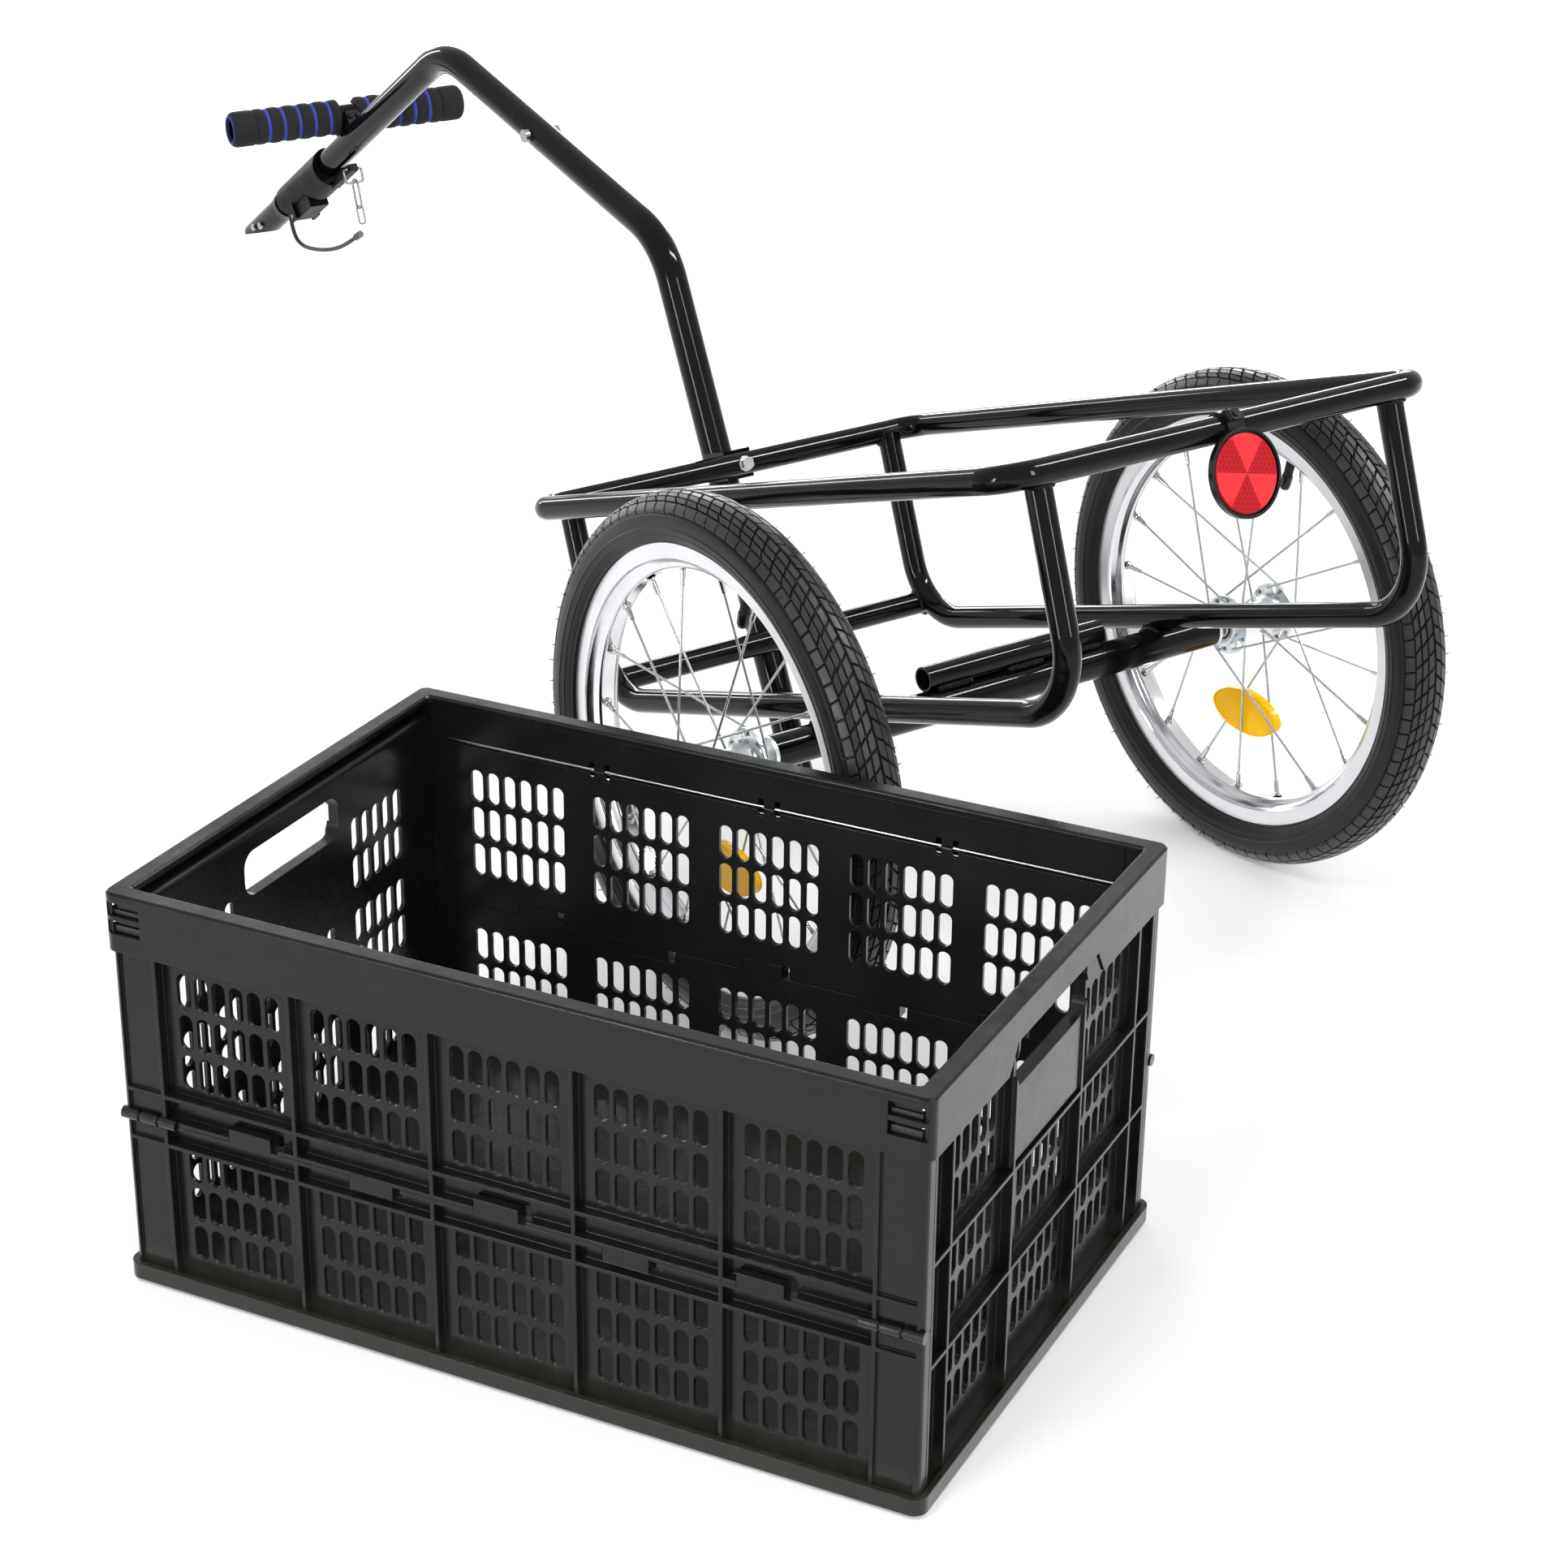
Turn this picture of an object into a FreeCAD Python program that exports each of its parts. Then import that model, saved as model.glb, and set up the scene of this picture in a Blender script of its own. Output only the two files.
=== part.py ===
import FreeCAD
import Part

import math
import os

V = FreeCAD.Vector

# A bicycle cargo trailer standing nose down on its two wheels and the lower end
# of its drawbar, with its folding crate on the floor beside it. Millimetres.
# The trailer is drawn level about the middle of its axle (x to its right,
# y forward, z up) and is pitched and set on the floor at the end.

# Stance
wheel_radius = 200.0
nose_down_deg = 18.23

# Wheel
tyre_half_width = 22.0
tyre_shoulder_half_width = 15.5
tyre_shoulder_drop = 9.0
tyre_crown_drop = 2.4
tyre_groove_width = 2.2
tyre_groove_depth = 2.5
tyre_groove_pitch = 5.4
tyre_wall = 4.5
rim_flange_radius = 166.0
rim_half_width = 14.9
rim_flange_wall = 2.0
rim_flange_height = 9.0
rim_bed_wall = 2.6
rim_depth = 21.0
rim_nose_half_width = 7.5
bead_clearance = 0.2

hub_flange_offset = 25.0
hub_flange_radius = 23.5
hub_flange_thickness = 3.0
hub_barrel_radius = 15.6
hub_waist_radius = 11.5
hub_half_length = 32.0
hub_core_bore_radius = 7.0
hub_fillet_length = 6.0
hub_standoff = 43.9

bearing_radius = 13.0
bearing_width = 8.0
bearing_clearance = 0.05
bearing_groove_depth = 1.0
bearing_race_wall = 2.6

spoke_count = 20
spoke_crosses = 2
spoke_radius = 0.95
spoke_hole_radius = 1.2
spoke_hole_circle_radius = 20.2
spoke_head_radius = 1.9
spoke_head_thickness = 1.2
spoke_inner_gap = 0.1
spoke_outer_gap = 1.8
nipple_radius = 2.2
nipple_length = 13.0
nipple_bore_clearance = 0.05
nipple_seat_gap = 0.3

valve_angle_deg = 103.0
valve_radius = 3.9
valve_length = 27.0
valve_cap_radius = 4.4
valve_cap_length = 12.0

side_reflector_length = 88.0
side_reflector_height = 38.0
side_reflector_thickness = 7.0
side_reflector_radius = 76.5
side_reflector_angle_deg = 270.0

axle_bolt_radius = 5.0
axle_bolt_length = 110.0
axle_nut_across_flats = 17.0
axle_nut_length = 8.0
axle_bolt_tip = 2.6
axle_washer_radius = 9.5
axle_washer_thickness = 1.8
axle_washer_gap = 0.3

# Frame
tube_radius = 9.5
tube_wall = 1.6
loop_half_width = 188.0
loop_front = 311.0
loop_rear = -294.0
loop_height = 182.8
loop_corner_radius = 24.0
loop_vent_radius = 2.5
hoop_offset = 159.0
hoop_front_top = 306.5
hoop_front_bottom = 298.6
hoop_rear_top = -287.5
hoop_rear_bottom = -292.1
hoop_bottom_height = 22.1
hoop_corner_radius = 51.0
crossbar_front = 297.0
crossbar_height = 36.2
axle_tube_radius = 13.0
axle_tube_wall = 2.0
axle_tube_half_length = 212.0
axle_plug_depth = 24.0
axle_plug_nose_length = 10.5
axle_plug_nose_radius = 7.0
axle_plug_collar = 3.0
receiver_left = -68.0
receiver_right = 101.0
receiver_height = 22.1

# Drawbar
drawbar_radius = 12.7
drawbar_wall = 2.0
drawbar_offset = 8.0
leg_base_forward = 314.5
leg_slope = 0.1366
leg_cap_length = 16.0
leg_cap_wall = 0.8
leg_cap_plug_length = 18.0
low_bend_forward = 365.4
low_bend_height = 372.6
high_bend_forward = 664.5
high_bend_height = 570.9
drawbar_bend_radius = 76.0
hitch_tip_forward = 1113.0
front_run_slope = 0.264
seam_forward = 553.0
spigot_wall = 2.6
spigot_clearance = 0.1
spigot_reach = 62.0
joint_bolt_setback = 30.0
joint_bolt_radius = 3.0
joint_bolt_head_radius = 5.6
joint_bolt_head_thickness = 4.2
joint_bolt_nut_across_flats = 10.0
joint_bolt_nut_thickness = 5.0
joint_bolt_overhang = 1.8
bolt_hole_clearance = 0.15
saddle_half_width = 13.0
saddle_half_height = 12.0
rail_bolt_radius = 3.0
rail_bolt_head_across_flats = 10.0
rail_bolt_head_thickness = 4.0
rail_washer_radius = 6.4
rail_washer_thickness = 1.6
rail_nut_thickness = 5.0
rail_nut_standoff = 0.4
hitch_cut_length = 45.0
hitch_cut_rise = 14.0

# Handlebar
bar_setback = 58.0
bar_lift = 24.0
bar_radius = 11.0
bar_wall = 1.5
bar_half_length = 112.0
bar_twist_deg = 9.0
bar_tilt_deg = 3.9
grip_radius = 16.5
grip_half_gap = 8.4
grip_end = 114.0
grip_waist_depth = 0.9
grip_waist_count = 6
grip_round = 5.0
grip_swell_share = 0.15
grip_fall_share = 0.7
grip_trough_share = 0.85
grip_clearance = 0.05
bar_saddle_half_width = 8.0
bar_saddle_half_length = 15.5
bar_screw_radius = 1.4
bar_screw_head_radius = 2.7
bar_screw_head_thickness = 1.8
bar_screw_depth = 3.2
bar_screw_offset = 4.0

# Hitch coupling
sleeve_setback = 91.0
sleeve_length = 60.0
collar_length = 36.0
collar_radius = 19.0
collar_drop = 4.0
sleeve_radius = 16.0
sleeve_clearance = 0.1
trigger_collar_gap = 8.0
trigger_setback = 16.0
trigger_half_width = 10.0
trigger_drop = 26.0
trigger_gap = 0.35
trigger_pin_radius = 2.0
trigger_pin_clearance = 0.08
cheek_width = 3.0
cheek_half_length = 7.0
tab_half_width = 4.0
tab_thickness = 7.0
tab_drop = 17.6
tab_length = 42.0
tab_hole_radius = 1.9
tab_hole_setback = 4.0
hitch_screw_radius = 2.0
hitch_screw_head_radius = 3.4
hitch_screw_head_thickness = 2.0
hitch_screw_setback = 38.0
hitch_screw_spacing = 15.0
hitch_screw_drop = 4.0
strap_ring_setback = 79.0
strap_ring_width = 7.0
strap_ring_thickness = 1.4

# Safety strap and its metal parts
ring_wire_radius = 1.2
ring_height = 13.0
ring_corner_radius = 4.6
link_wire_radius = 1.0
link_half_width = 5.2
link_height = 27.0
clip_wire_radius = 0.9
clip_half_width = 3.2
clip_height = 17.0
terminal_radius = 3.4
terminal_length = 10.0
link_play = 0.3
link_round_share = 0.9
strap_radius = 2.0
strap_arc_share = 0.45
strap_setbacks_and_drops = [
    (3.2, 13.0),
    (2.5, 30.8),
    (17.0, 42.3),
    (38.0, 47.5),
    (65.0, 51.1),
    (92.0, 51.7),
    (116.0, 48.7),
    (132.5, 45.2),
]

# Rear reflector
reflector_offset = 0.5
reflector_radius = 30.5
reflector_drop = 31.3
reflector_setback = 5.2
reflector_back_share = 0.6
reflector_flare_share = 0.55
reflector_flat_share = 0.8
reflector_housing_depth = 10.0
reflector_wall = 1.8
reflector_lens_thickness = 3.0
reflector_lens_dish = 1.5
reflector_lens_clearance = 0.1
clamp_width = 14.0
clamp_thickness = 2.2
clamp_arm_thickness = 3.0
clamp_arm_half_width = 7.0
clamp_arm_reach = 15.0
clamp_seam_deg = 42.0
clamp_pad_height = 9.0
clamp_pad_thickness = 1.6
clamp_rib_width = 1.0
clamp_rib_spacing = 2.4
clamp_rib_offset = 5.4
clamp_screw_radius = 2.0
clamp_screw_offset = 2.4
clamp_screw_head_radius = 2.7
clamp_screw_head_thickness = 1.4

# Crate, drawn square to its own sides with z up from the floor
crate_length = 548.5
crate_width = 362.7
crate_height = 274.0
crate_beyond_wheel = 216.9
crate_back = 232.6
crate_yaw_deg = -62.24
crate_corner_radius = 7.0
crate_inner_corner_share = 0.4
crate_band_height = 39.0
crate_band_wall = 2.5
crate_ledge_width = 13.0
crate_ledge_thickness = 5.0
crate_top_chamfer = 1.4
crate_notch_half_width = 62.0
crate_notch_slope = 12.0
crate_notch_height = 17.0
crate_pocket_width = 24.0
crate_pocket_height = 9.0
crate_pocket_pitch = 12.0
crate_pocket_margin = 6.0
crate_foot_inset = 9.0
crate_foot_height = 3.0
crate_foot_width = 6.6
crate_floor_thickness = 3.0
crate_lip_height = 14.0
crate_lip_outset = 1.6
crate_side_inset = 2.5
crate_skin = 3.0
crate_rib_depth = 7.0
crate_rib_wall = 2.6
crate_post_sink = 2.4
crate_post_lip = 4.0
crate_seam_drop = 16.0
crate_mid_channel = 17.0
crate_tab_length = 30.0
crate_tab_height = 9.0
crate_tab_pitch = 87.0
crate_tab_offset = 4.0
crate_fit_gap = 0.4
slot_width_share = 0.75
slot_row_gap = 4.0
slot_bay_margin = 19.7
slot_columns = 6
slot_rows = 3
side_bays = 5
corner_post_width = 33.0
lower_slot_margin = 17.0
lower_slot_head = 18.0
upper_slot_margin = 24.0
end_centre_bay_share = 0.29
end_side_bay_share = 0.25
end_slot_bay_margin = 26.7
end_side_columns = 5
end_centre_columns = 7
end_bay_rows = 3
end_slot_margin = 27.0
end_bay_row_gap = 16.0
end_rows_per_bay = 2
end_wall_gap = 0.6
end_skin = 3.0
end_rib_depth = 7.0
end_floor_gap = 0.6
end_pivot_radius = 3.0
end_pivot_length = 4.0
end_pivot_clearance = 0.08
end_pivot_drop = 18.0
hinge_block_length = 22.0
hinge_block_thickness = 8.0
hinge_block_reach = 10.0
hinge_block_sink = 1.0
hand_hole_half_width = 54.0
hand_hole_height = 31.0
hand_hole_drop = 28.0
hand_hole_round = 11.0
hand_cup_depth = 50.0
hand_cup_sink = 1.5
rod_radius = 1.6
rod_drop = 30.0
rod_gap = 0.2
rod_clip_length = 8.0
rod_clip_slot_width = 4.0
rod_clip_slot_half_height = 6.0
rod_clip_pitch = 128.0
rod_clip_count = 3
rod_end_margin = 24.0
mid_pin_radius = 4.0
mid_pin_neck_radius = 2.8
mid_pin_length = 40.0
mid_pin_neck_length = 2.0
mid_pin_knuckles = 3
mid_pin_inset = 1.0
mid_pin_overhang = 1.0
crate_tab_play = 5.0

# Shares of a size that shape a small form
tyre_side_share = 0.86
tyre_shoulder_share = 0.97
tyre_shoulder_fall = 1.5
tyre_shoulder_rise = 1.6
rim_well_share = 0.5
rim_well_rise = 1.6
grip_edge_share = 0.5
grip_shoulder_share = 0.33

overrun = 1.0

# Values worked out from the sizes above
drawbar_bore = drawbar_radius - drawbar_wall
axle_bore = axle_tube_radius - axle_tube_wall
front_run_angle = math.atan(front_run_slope)
nose_down = math.radians(nose_down_deg)
half_track = axle_tube_half_length + hub_standoff
crate_centre = V(-half_track - crate_beyond_wheel, -crate_back, 0)
crate_lip_wall = crate_lip_outset + crate_side_inset
wall_bottom = crate_foot_height + crate_floor_thickness
crate_mid_height = crate_height / 2 - crate_seam_drop
side_bay_pitch = (crate_length - corner_post_width * 2) / side_bays
slot_pitch = (side_bay_pitch - slot_bay_margin) / slot_columns
lower_slot_base = wall_bottom + lower_slot_margin
lower_slot_top = crate_mid_height - lower_slot_head
slot_row_pitch = (lower_slot_top - lower_slot_base + slot_row_gap) / slot_rows
slot_length = slot_row_pitch - slot_row_gap
upper_slot_base = crate_mid_height + upper_slot_margin
end_slot_base = wall_bottom + end_slot_margin
end_bay_row_pitch = slot_row_pitch * end_rows_per_bay - slot_row_gap + end_bay_row_gap
end_centre_bay = crate_width * end_centre_bay_share
end_side_bay = crate_width * end_side_bay_share
end_slot_pitch = (end_side_bay - end_slot_bay_margin) / end_side_columns
pivot_height = crate_height - end_pivot_drop
hand_hole_top = crate_height - hand_hole_drop
rod_height = crate_height - rod_drop
sleeve_front = hitch_tip_forward - sleeve_setback
collar_front = sleeve_front - sleeve_length
collar_rear = collar_front - collar_length
bar_forward = collar_rear - bar_setback
trigger_rear = collar_front + trigger_collar_gap
trigger_pivot = sleeve_front - trigger_setback
tab_rear = collar_rear - tab_length
hitch_cut_start = hitch_tip_forward - hitch_cut_length
hitch_screw_first_forward = hitch_tip_forward - hitch_screw_setback
strap_ring_forward = hitch_tip_forward - strap_ring_setback


def leg_forward(height):
    return leg_base_forward + leg_slope * height


def floor_height(forward, height):
    return wheel_radius - forward * math.sin(nose_down) + height * math.cos(nose_down)


def front_run_height(forward):
    return high_bend_height - front_run_slope * (forward - high_bend_forward)


def front_run(forward, lift=0.0, side=0.0):
    """A point by the drawbar's front run, lift square to the run."""
    return V(
        drawbar_offset + side,
        forward + lift * math.sin(front_run_angle),
        front_run_height(forward) + lift * math.cos(front_run_angle),
    )


front_run_direction = V(0, math.cos(front_run_angle), -math.sin(front_run_angle))
front_run_up = V(0, math.sin(front_run_angle), math.cos(front_run_angle))
leg_direction = V(0, leg_slope, 1)
leg_direction.normalize()
upper_direction = V(0, high_bend_forward - low_bend_forward, high_bend_height - low_bend_height)
upper_direction.normalize()
side = V(1, 0, 0)
forward = V(0, 1, 0)
up = V(0, 0, 1)

# The leg's axis meets the floor where its height above it is nil
leg_floor_height = -(wheel_radius - leg_base_forward * math.sin(nose_down)) / (
    math.cos(nose_down) - leg_slope * math.sin(nose_down)
)
leg_floor = V(drawbar_offset, leg_forward(leg_floor_height), leg_floor_height)


def scaled(vector, length):
    return V(vector.x * length, vector.y * length, vector.z * length)


def rod(start, end, radius):
    axis = end - start
    return Part.makeCylinder(radius, axis.Length, start, axis)


def tube(start, end, radius, bore):
    return rod(start, end, radius).cut(rod(start, end, bore))


def block(x0, x1, y0, y1, z0, z1):
    return Part.makeBox(x1 - x0, y1 - y0, z1 - z0, V(x0, y0, z0))


def mirror_x(shape):
    return shape.mirror(V(0, 0, 0), V(1, 0, 0))


def fused(shapes):
    first = shapes[0]
    return first.fuse(shapes[1:]).removeSplitter() if len(shapes) > 1 else first


def largest(shape):
    return max(shape.Solids, key=lambda solid: solid.Volume)


def hex_prism(centre, axis, across_flats, thickness):
    """A six-sided prism from centre along axis."""
    corner = across_flats / math.sqrt(3)
    seed = side if abs(axis.x) < abs(axis.y) + abs(axis.z) else up
    first = axis.cross(seed)
    first.normalize()
    second = axis.cross(first)
    second.normalize()
    points = []
    for step in range(6):
        turn = step * math.pi / 3
        points.append(centre + scaled(first, corner * math.cos(turn)) + scaled(second, corner * math.sin(turn)))
    points.append(points[0])
    unit = V(axis.x, axis.y, axis.z)
    unit.normalize()
    return Part.Face(Part.makePolygon(points)).extrude(scaled(unit, thickness))


def bent_edges(points, radii):
    """Straight runs with a tangent arc of the given radius at each inner point."""
    edges = []
    start = points[0]
    for index in range(1, len(points) - 1):
        corner = points[index]
        back = points[index - 1] - corner
        on = points[index + 1] - corner
        back.normalize()
        on.normalize()
        half = back.getAngle(on) / 2
        reach = radii[index - 1] / math.tan(half)
        inward = back + on
        inward.normalize()
        middle = corner + scaled(inward, radii[index - 1] / math.sin(half) - radii[index - 1])
        arc_start = corner + scaled(back, reach)
        arc_end = corner + scaled(on, reach)
        edges.append(Part.LineSegment(start, arc_start).toShape())
        edges.append(Part.Arc(arc_start, middle, arc_end).toShape())
        start = arc_end
    edges.append(Part.LineSegment(start, points[-1]).toShape())
    return edges


def swept(edges, radius):
    wire = Part.Wire(edges)
    first = edges[0]
    start = first.valueAt(first.FirstParameter)
    direction = first.tangentAt(first.FirstParameter)
    circle = Part.Wire([Part.makeCircle(radius, start, direction)])
    return Part.Wire(wire.Edges).makePipeShell([circle], True, False)


def bent_tube(points, radii, radius, bore=0.0):
    edges = bent_edges(points, radii)
    outer = swept(edges, radius)
    return outer.cut(swept(edges, bore)) if bore else outer


def turned(profile, origin, axis):
    """A full turn of a closed outline given as points (along the axis, radius)."""
    unit = V(axis.x, axis.y, axis.z)
    unit.normalize()
    across = unit.cross(up) if abs(unit.z) < abs(unit.x) + abs(unit.y) else side
    across.normalize()
    points = [origin + scaled(unit, along) + scaled(across, radius) for along, radius in profile]
    points.append(points[0])
    return Part.Face(Part.makePolygon(points)).revolve(origin, unit, 360)


nodes = {}

# Top rail, side hoops and cross tubes


def loop_path():
    """The top rail's centreline, closed, with rounded corners."""
    corners = [
        V(loop_half_width, loop_front, loop_height),
        V(-loop_half_width, loop_front, loop_height),
        V(-loop_half_width, loop_rear, loop_height),
        V(loop_half_width, loop_rear, loop_height),
    ]
    start = (corners[3] + corners[0]) * 0.5
    edges = bent_edges([start] + corners + [start], [loop_corner_radius] * 4)
    return edges


def loop_solid(radius):
    wire = Part.Wire(loop_path())
    start = V(loop_half_width, (loop_front + loop_rear) / 2, loop_height)
    circle = Part.Wire([Part.makeCircle(radius, start, forward)])
    return wire.makePipeShell([circle], True, False)


loop_outer = loop_solid(tube_radius)
loop_vent = rod(
    V(-loop_half_width / 2, loop_rear, loop_height),
    V(-loop_half_width / 2, loop_rear, loop_height - tube_radius - overrun),
    loop_vent_radius,
)
rail_bolt_hole = rod(
    V(drawbar_offset, loop_front - tube_radius - overrun, loop_height),
    V(drawbar_offset, leg_forward(loop_height) + drawbar_radius * 2, loop_height),
    rail_bolt_radius + bolt_hole_clearance,
)
nodes["top_rail_loop"] = loop_outer.cut(loop_solid(tube_radius - tube_wall)).cut([loop_vent, rail_bolt_hole])


def hoop_solid(x, radius):
    points = [
        V(x, hoop_front_top, loop_height),
        V(x, hoop_front_bottom, hoop_bottom_height),
        V(x, hoop_rear_bottom, hoop_bottom_height),
        V(x, hoop_rear_top, loop_height),
    ]
    return bent_tube(points, [hoop_corner_radius] * 2, radius)


axle_outer = rod(V(-axle_tube_half_length, 0, 0), V(axle_tube_half_length, 0, 0), axle_tube_radius)
hoop_outers = []
for name, sign in (("left", -1), ("right", 1)):
    outer = hoop_solid(sign * hoop_offset, tube_radius)
    hoop_outers.append(outer)
    hollow = outer.cut(hoop_solid(sign * hoop_offset, tube_radius - tube_wall))
    nodes["side_hoop_" + name] = largest(hollow.cut([loop_outer, axle_outer]))

crossbar_ends = (V(-hoop_offset, crossbar_front, crossbar_height), V(hoop_offset, crossbar_front, crossbar_height))
crossbar_outer = rod(crossbar_ends[0], crossbar_ends[1], tube_radius)
crossbar = crossbar_outer.cut(rod(crossbar_ends[0], crossbar_ends[1], tube_radius - tube_wall))
nodes["front_lower_crossbar"] = largest(crossbar.cut(hoop_outers))

nodes["axle_cross_tube"] = tube(
    V(-axle_tube_half_length, 0, 0), V(axle_tube_half_length, 0, 0), axle_tube_radius, axle_bore
)
receiver = tube(
    V(receiver_left, 0, receiver_height), V(receiver_right, 0, receiver_height), tube_radius, tube_radius - tube_wall
)
nodes["axle_receiver_tube"] = largest(receiver.cut(axle_outer))

plug_profile = [
    (axle_tube_half_length - axle_plug_depth, axle_bolt_radius),
    (axle_tube_half_length - axle_plug_depth, axle_bore),
    (axle_tube_half_length, axle_bore),
    (axle_tube_half_length, axle_tube_radius),
    (axle_tube_half_length + axle_plug_collar, axle_tube_radius),
    (axle_tube_half_length + axle_plug_nose_length, axle_plug_nose_radius),
    (axle_tube_half_length + axle_plug_nose_length, axle_bolt_radius),
]
plug = turned(plug_profile, V(0, 0, 0), side)
nodes["axle_end_plugs"] = Part.makeCompound([plug, mirror_x(plug)])

# Drawbar

leg_tube_end = leg_floor + scaled(leg_direction, leg_cap_length)
low_bend = V(drawbar_offset, low_bend_forward, low_bend_height)
high_bend = V(drawbar_offset, high_bend_forward, high_bend_height)
seam_share = (seam_forward - low_bend_forward) / (high_bend_forward - low_bend_forward)
seam = low_bend + (high_bend - low_bend) * seam_share
joint_bolt_centre = seam - scaled(upper_direction, joint_bolt_setback)
joint_bolt_hole = rod(
    joint_bolt_centre - scaled(side, drawbar_radius * 2),
    joint_bolt_centre + scaled(side, drawbar_radius * 2),
    joint_bolt_radius + bolt_hole_clearance,
)
rear_points = [leg_tube_end, low_bend, seam]
rear_outer = bent_tube(rear_points, [drawbar_bend_radius], drawbar_radius)
rear_bore = bent_tube(rear_points, [drawbar_bend_radius], drawbar_bore)
nodes["drawbar_rear"] = rear_outer.cut([rear_bore, rail_bolt_hole, joint_bolt_hole])

cap_radius = drawbar_radius + leg_cap_wall
cap = rod(leg_floor - scaled(leg_direction, cap_radius), leg_tube_end, cap_radius).fuse(
    rod(leg_tube_end, leg_tube_end + scaled(leg_direction, leg_cap_plug_length), drawbar_bore)
)
floor_plate = block(
    -cap_radius * 2, cap_radius * 2, -cap_radius * 4, cap_radius * 4, -cap_radius * 4, 0
)
floor_plate.rotate(V(0, 0, 0), side, nose_down_deg)
floor_plate.translate(leg_floor)
nodes["drawbar_foot_cap"] = cap.cut(floor_plate)

saddle = block(
    drawbar_offset - saddle_half_width,
    drawbar_offset + saddle_half_width,
    loop_front,
    leg_forward(loop_height),
    loop_height - saddle_half_height,
    loop_height + saddle_half_height,
)
nodes["drawbar_saddle"] = largest(saddle.cut([loop_outer, rear_outer, rail_bolt_hole]))

washer_seat = loop_front - tube_radius
head_seat = washer_seat - rail_washer_thickness
nut_seat = leg_forward(loop_height) + drawbar_radius + rail_nut_standoff
rail_bolt_line = V(drawbar_offset, 0, loop_height)
rail_washer = tube(
    rail_bolt_line + scaled(forward, head_seat),
    rail_bolt_line + scaled(forward, washer_seat),
    rail_washer_radius,
    rail_bolt_radius + bolt_hole_clearance,
)
rail_bolt = fused([
    rod(
        rail_bolt_line + scaled(forward, head_seat),
        rail_bolt_line + scaled(forward, nut_seat + rail_nut_thickness),
        rail_bolt_radius,
    ),
    hex_prism(
        rail_bolt_line + scaled(forward, head_seat),
        scaled(forward, -1),
        rail_bolt_head_across_flats,
        rail_bolt_head_thickness,
    ),
    hex_prism(
        rail_bolt_line + scaled(forward, nut_seat),
        forward,
        rail_bolt_head_across_flats,
        rail_nut_thickness,
    ),
])
nodes["frame_bolt"] = Part.makeCompound([rail_bolt.cut(rear_outer.cut(rail_bolt_hole)), rail_washer])

hitch_tip = front_run(hitch_tip_forward)
front_points = [seam, high_bend, hitch_tip]
front_outer = bent_tube(front_points, [drawbar_bend_radius], drawbar_radius)
front_bore = bent_tube(front_points, [drawbar_bend_radius], drawbar_bore)
hitch_cut_points = [
    front_run(hitch_cut_start, -drawbar_radius - overrun, -drawbar_radius * 2),
    front_run(hitch_tip_forward, hitch_cut_rise - drawbar_radius, -drawbar_radius * 2),
    front_run(hitch_tip_forward + drawbar_radius, hitch_cut_rise - drawbar_radius, -drawbar_radius * 2),
    front_run(hitch_tip_forward + drawbar_radius, -drawbar_radius * 2, -drawbar_radius * 2),
    front_run(hitch_cut_start, -drawbar_radius * 2, -drawbar_radius * 2),
]
hitch_cut = Part.Face(Part.makePolygon(hitch_cut_points + hitch_cut_points[:1])).extrude(
    scaled(side, drawbar_radius * 4)
)
hitch_screw_centres = [
    front_run(hitch_screw_first_forward + step * hitch_screw_spacing, -hitch_screw_drop + step * hitch_screw_drop)
    for step in range(2)
]
hitch_screw_holes = [
    rod(centre, centre - scaled(side, drawbar_radius * 2), hitch_screw_radius + bolt_hole_clearance)
    for centre in hitch_screw_centres
]
nodes["drawbar_front"] = front_outer.cut([front_bore, hitch_cut] + hitch_screw_holes)

spigot_radius = drawbar_bore - spigot_clearance
spigot = tube(
    seam - scaled(upper_direction, spigot_reach),
    seam + scaled(upper_direction, spigot_reach / 2),
    spigot_radius,
    spigot_radius - spigot_wall,
)
nodes["drawbar_spigot"] = spigot.cut(joint_bolt_hole)

head_side = joint_bolt_centre - scaled(side, drawbar_radius)
nut_side = joint_bolt_centre + scaled(side, drawbar_radius)
joint_bolt = fused([
    rod(
        head_side - scaled(side, joint_bolt_head_thickness),
        nut_side + scaled(side, joint_bolt_nut_thickness + joint_bolt_overhang),
        joint_bolt_radius,
    ),
    rod(head_side - scaled(side, joint_bolt_head_thickness), head_side, joint_bolt_head_radius),
    hex_prism(nut_side, side, joint_bolt_nut_across_flats, joint_bolt_nut_thickness),
])
nodes["drawbar_joint_bolt"] = joint_bolt

# Handlebar across the drawbar's front run

twist = math.radians(bar_twist_deg)
tilt = math.radians(bar_tilt_deg)
bar_level = scaled(side, math.cos(twist)) - scaled(front_run_direction, math.sin(twist))
bar_direction = scaled(bar_level, math.cos(tilt)) - scaled(front_run_up, math.sin(tilt))
bar_centre = front_run(bar_forward, bar_lift)


def on_bar(along):
    return bar_centre + scaled(bar_direction, along)


bar_outer = rod(on_bar(-bar_half_length), on_bar(bar_half_length), bar_radius)
bar = bar_outer.cut(rod(on_bar(-bar_half_length), on_bar(bar_half_length), bar_radius - bar_wall))
nodes["handlebar_tube"] = largest(bar.cut(front_outer))

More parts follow.
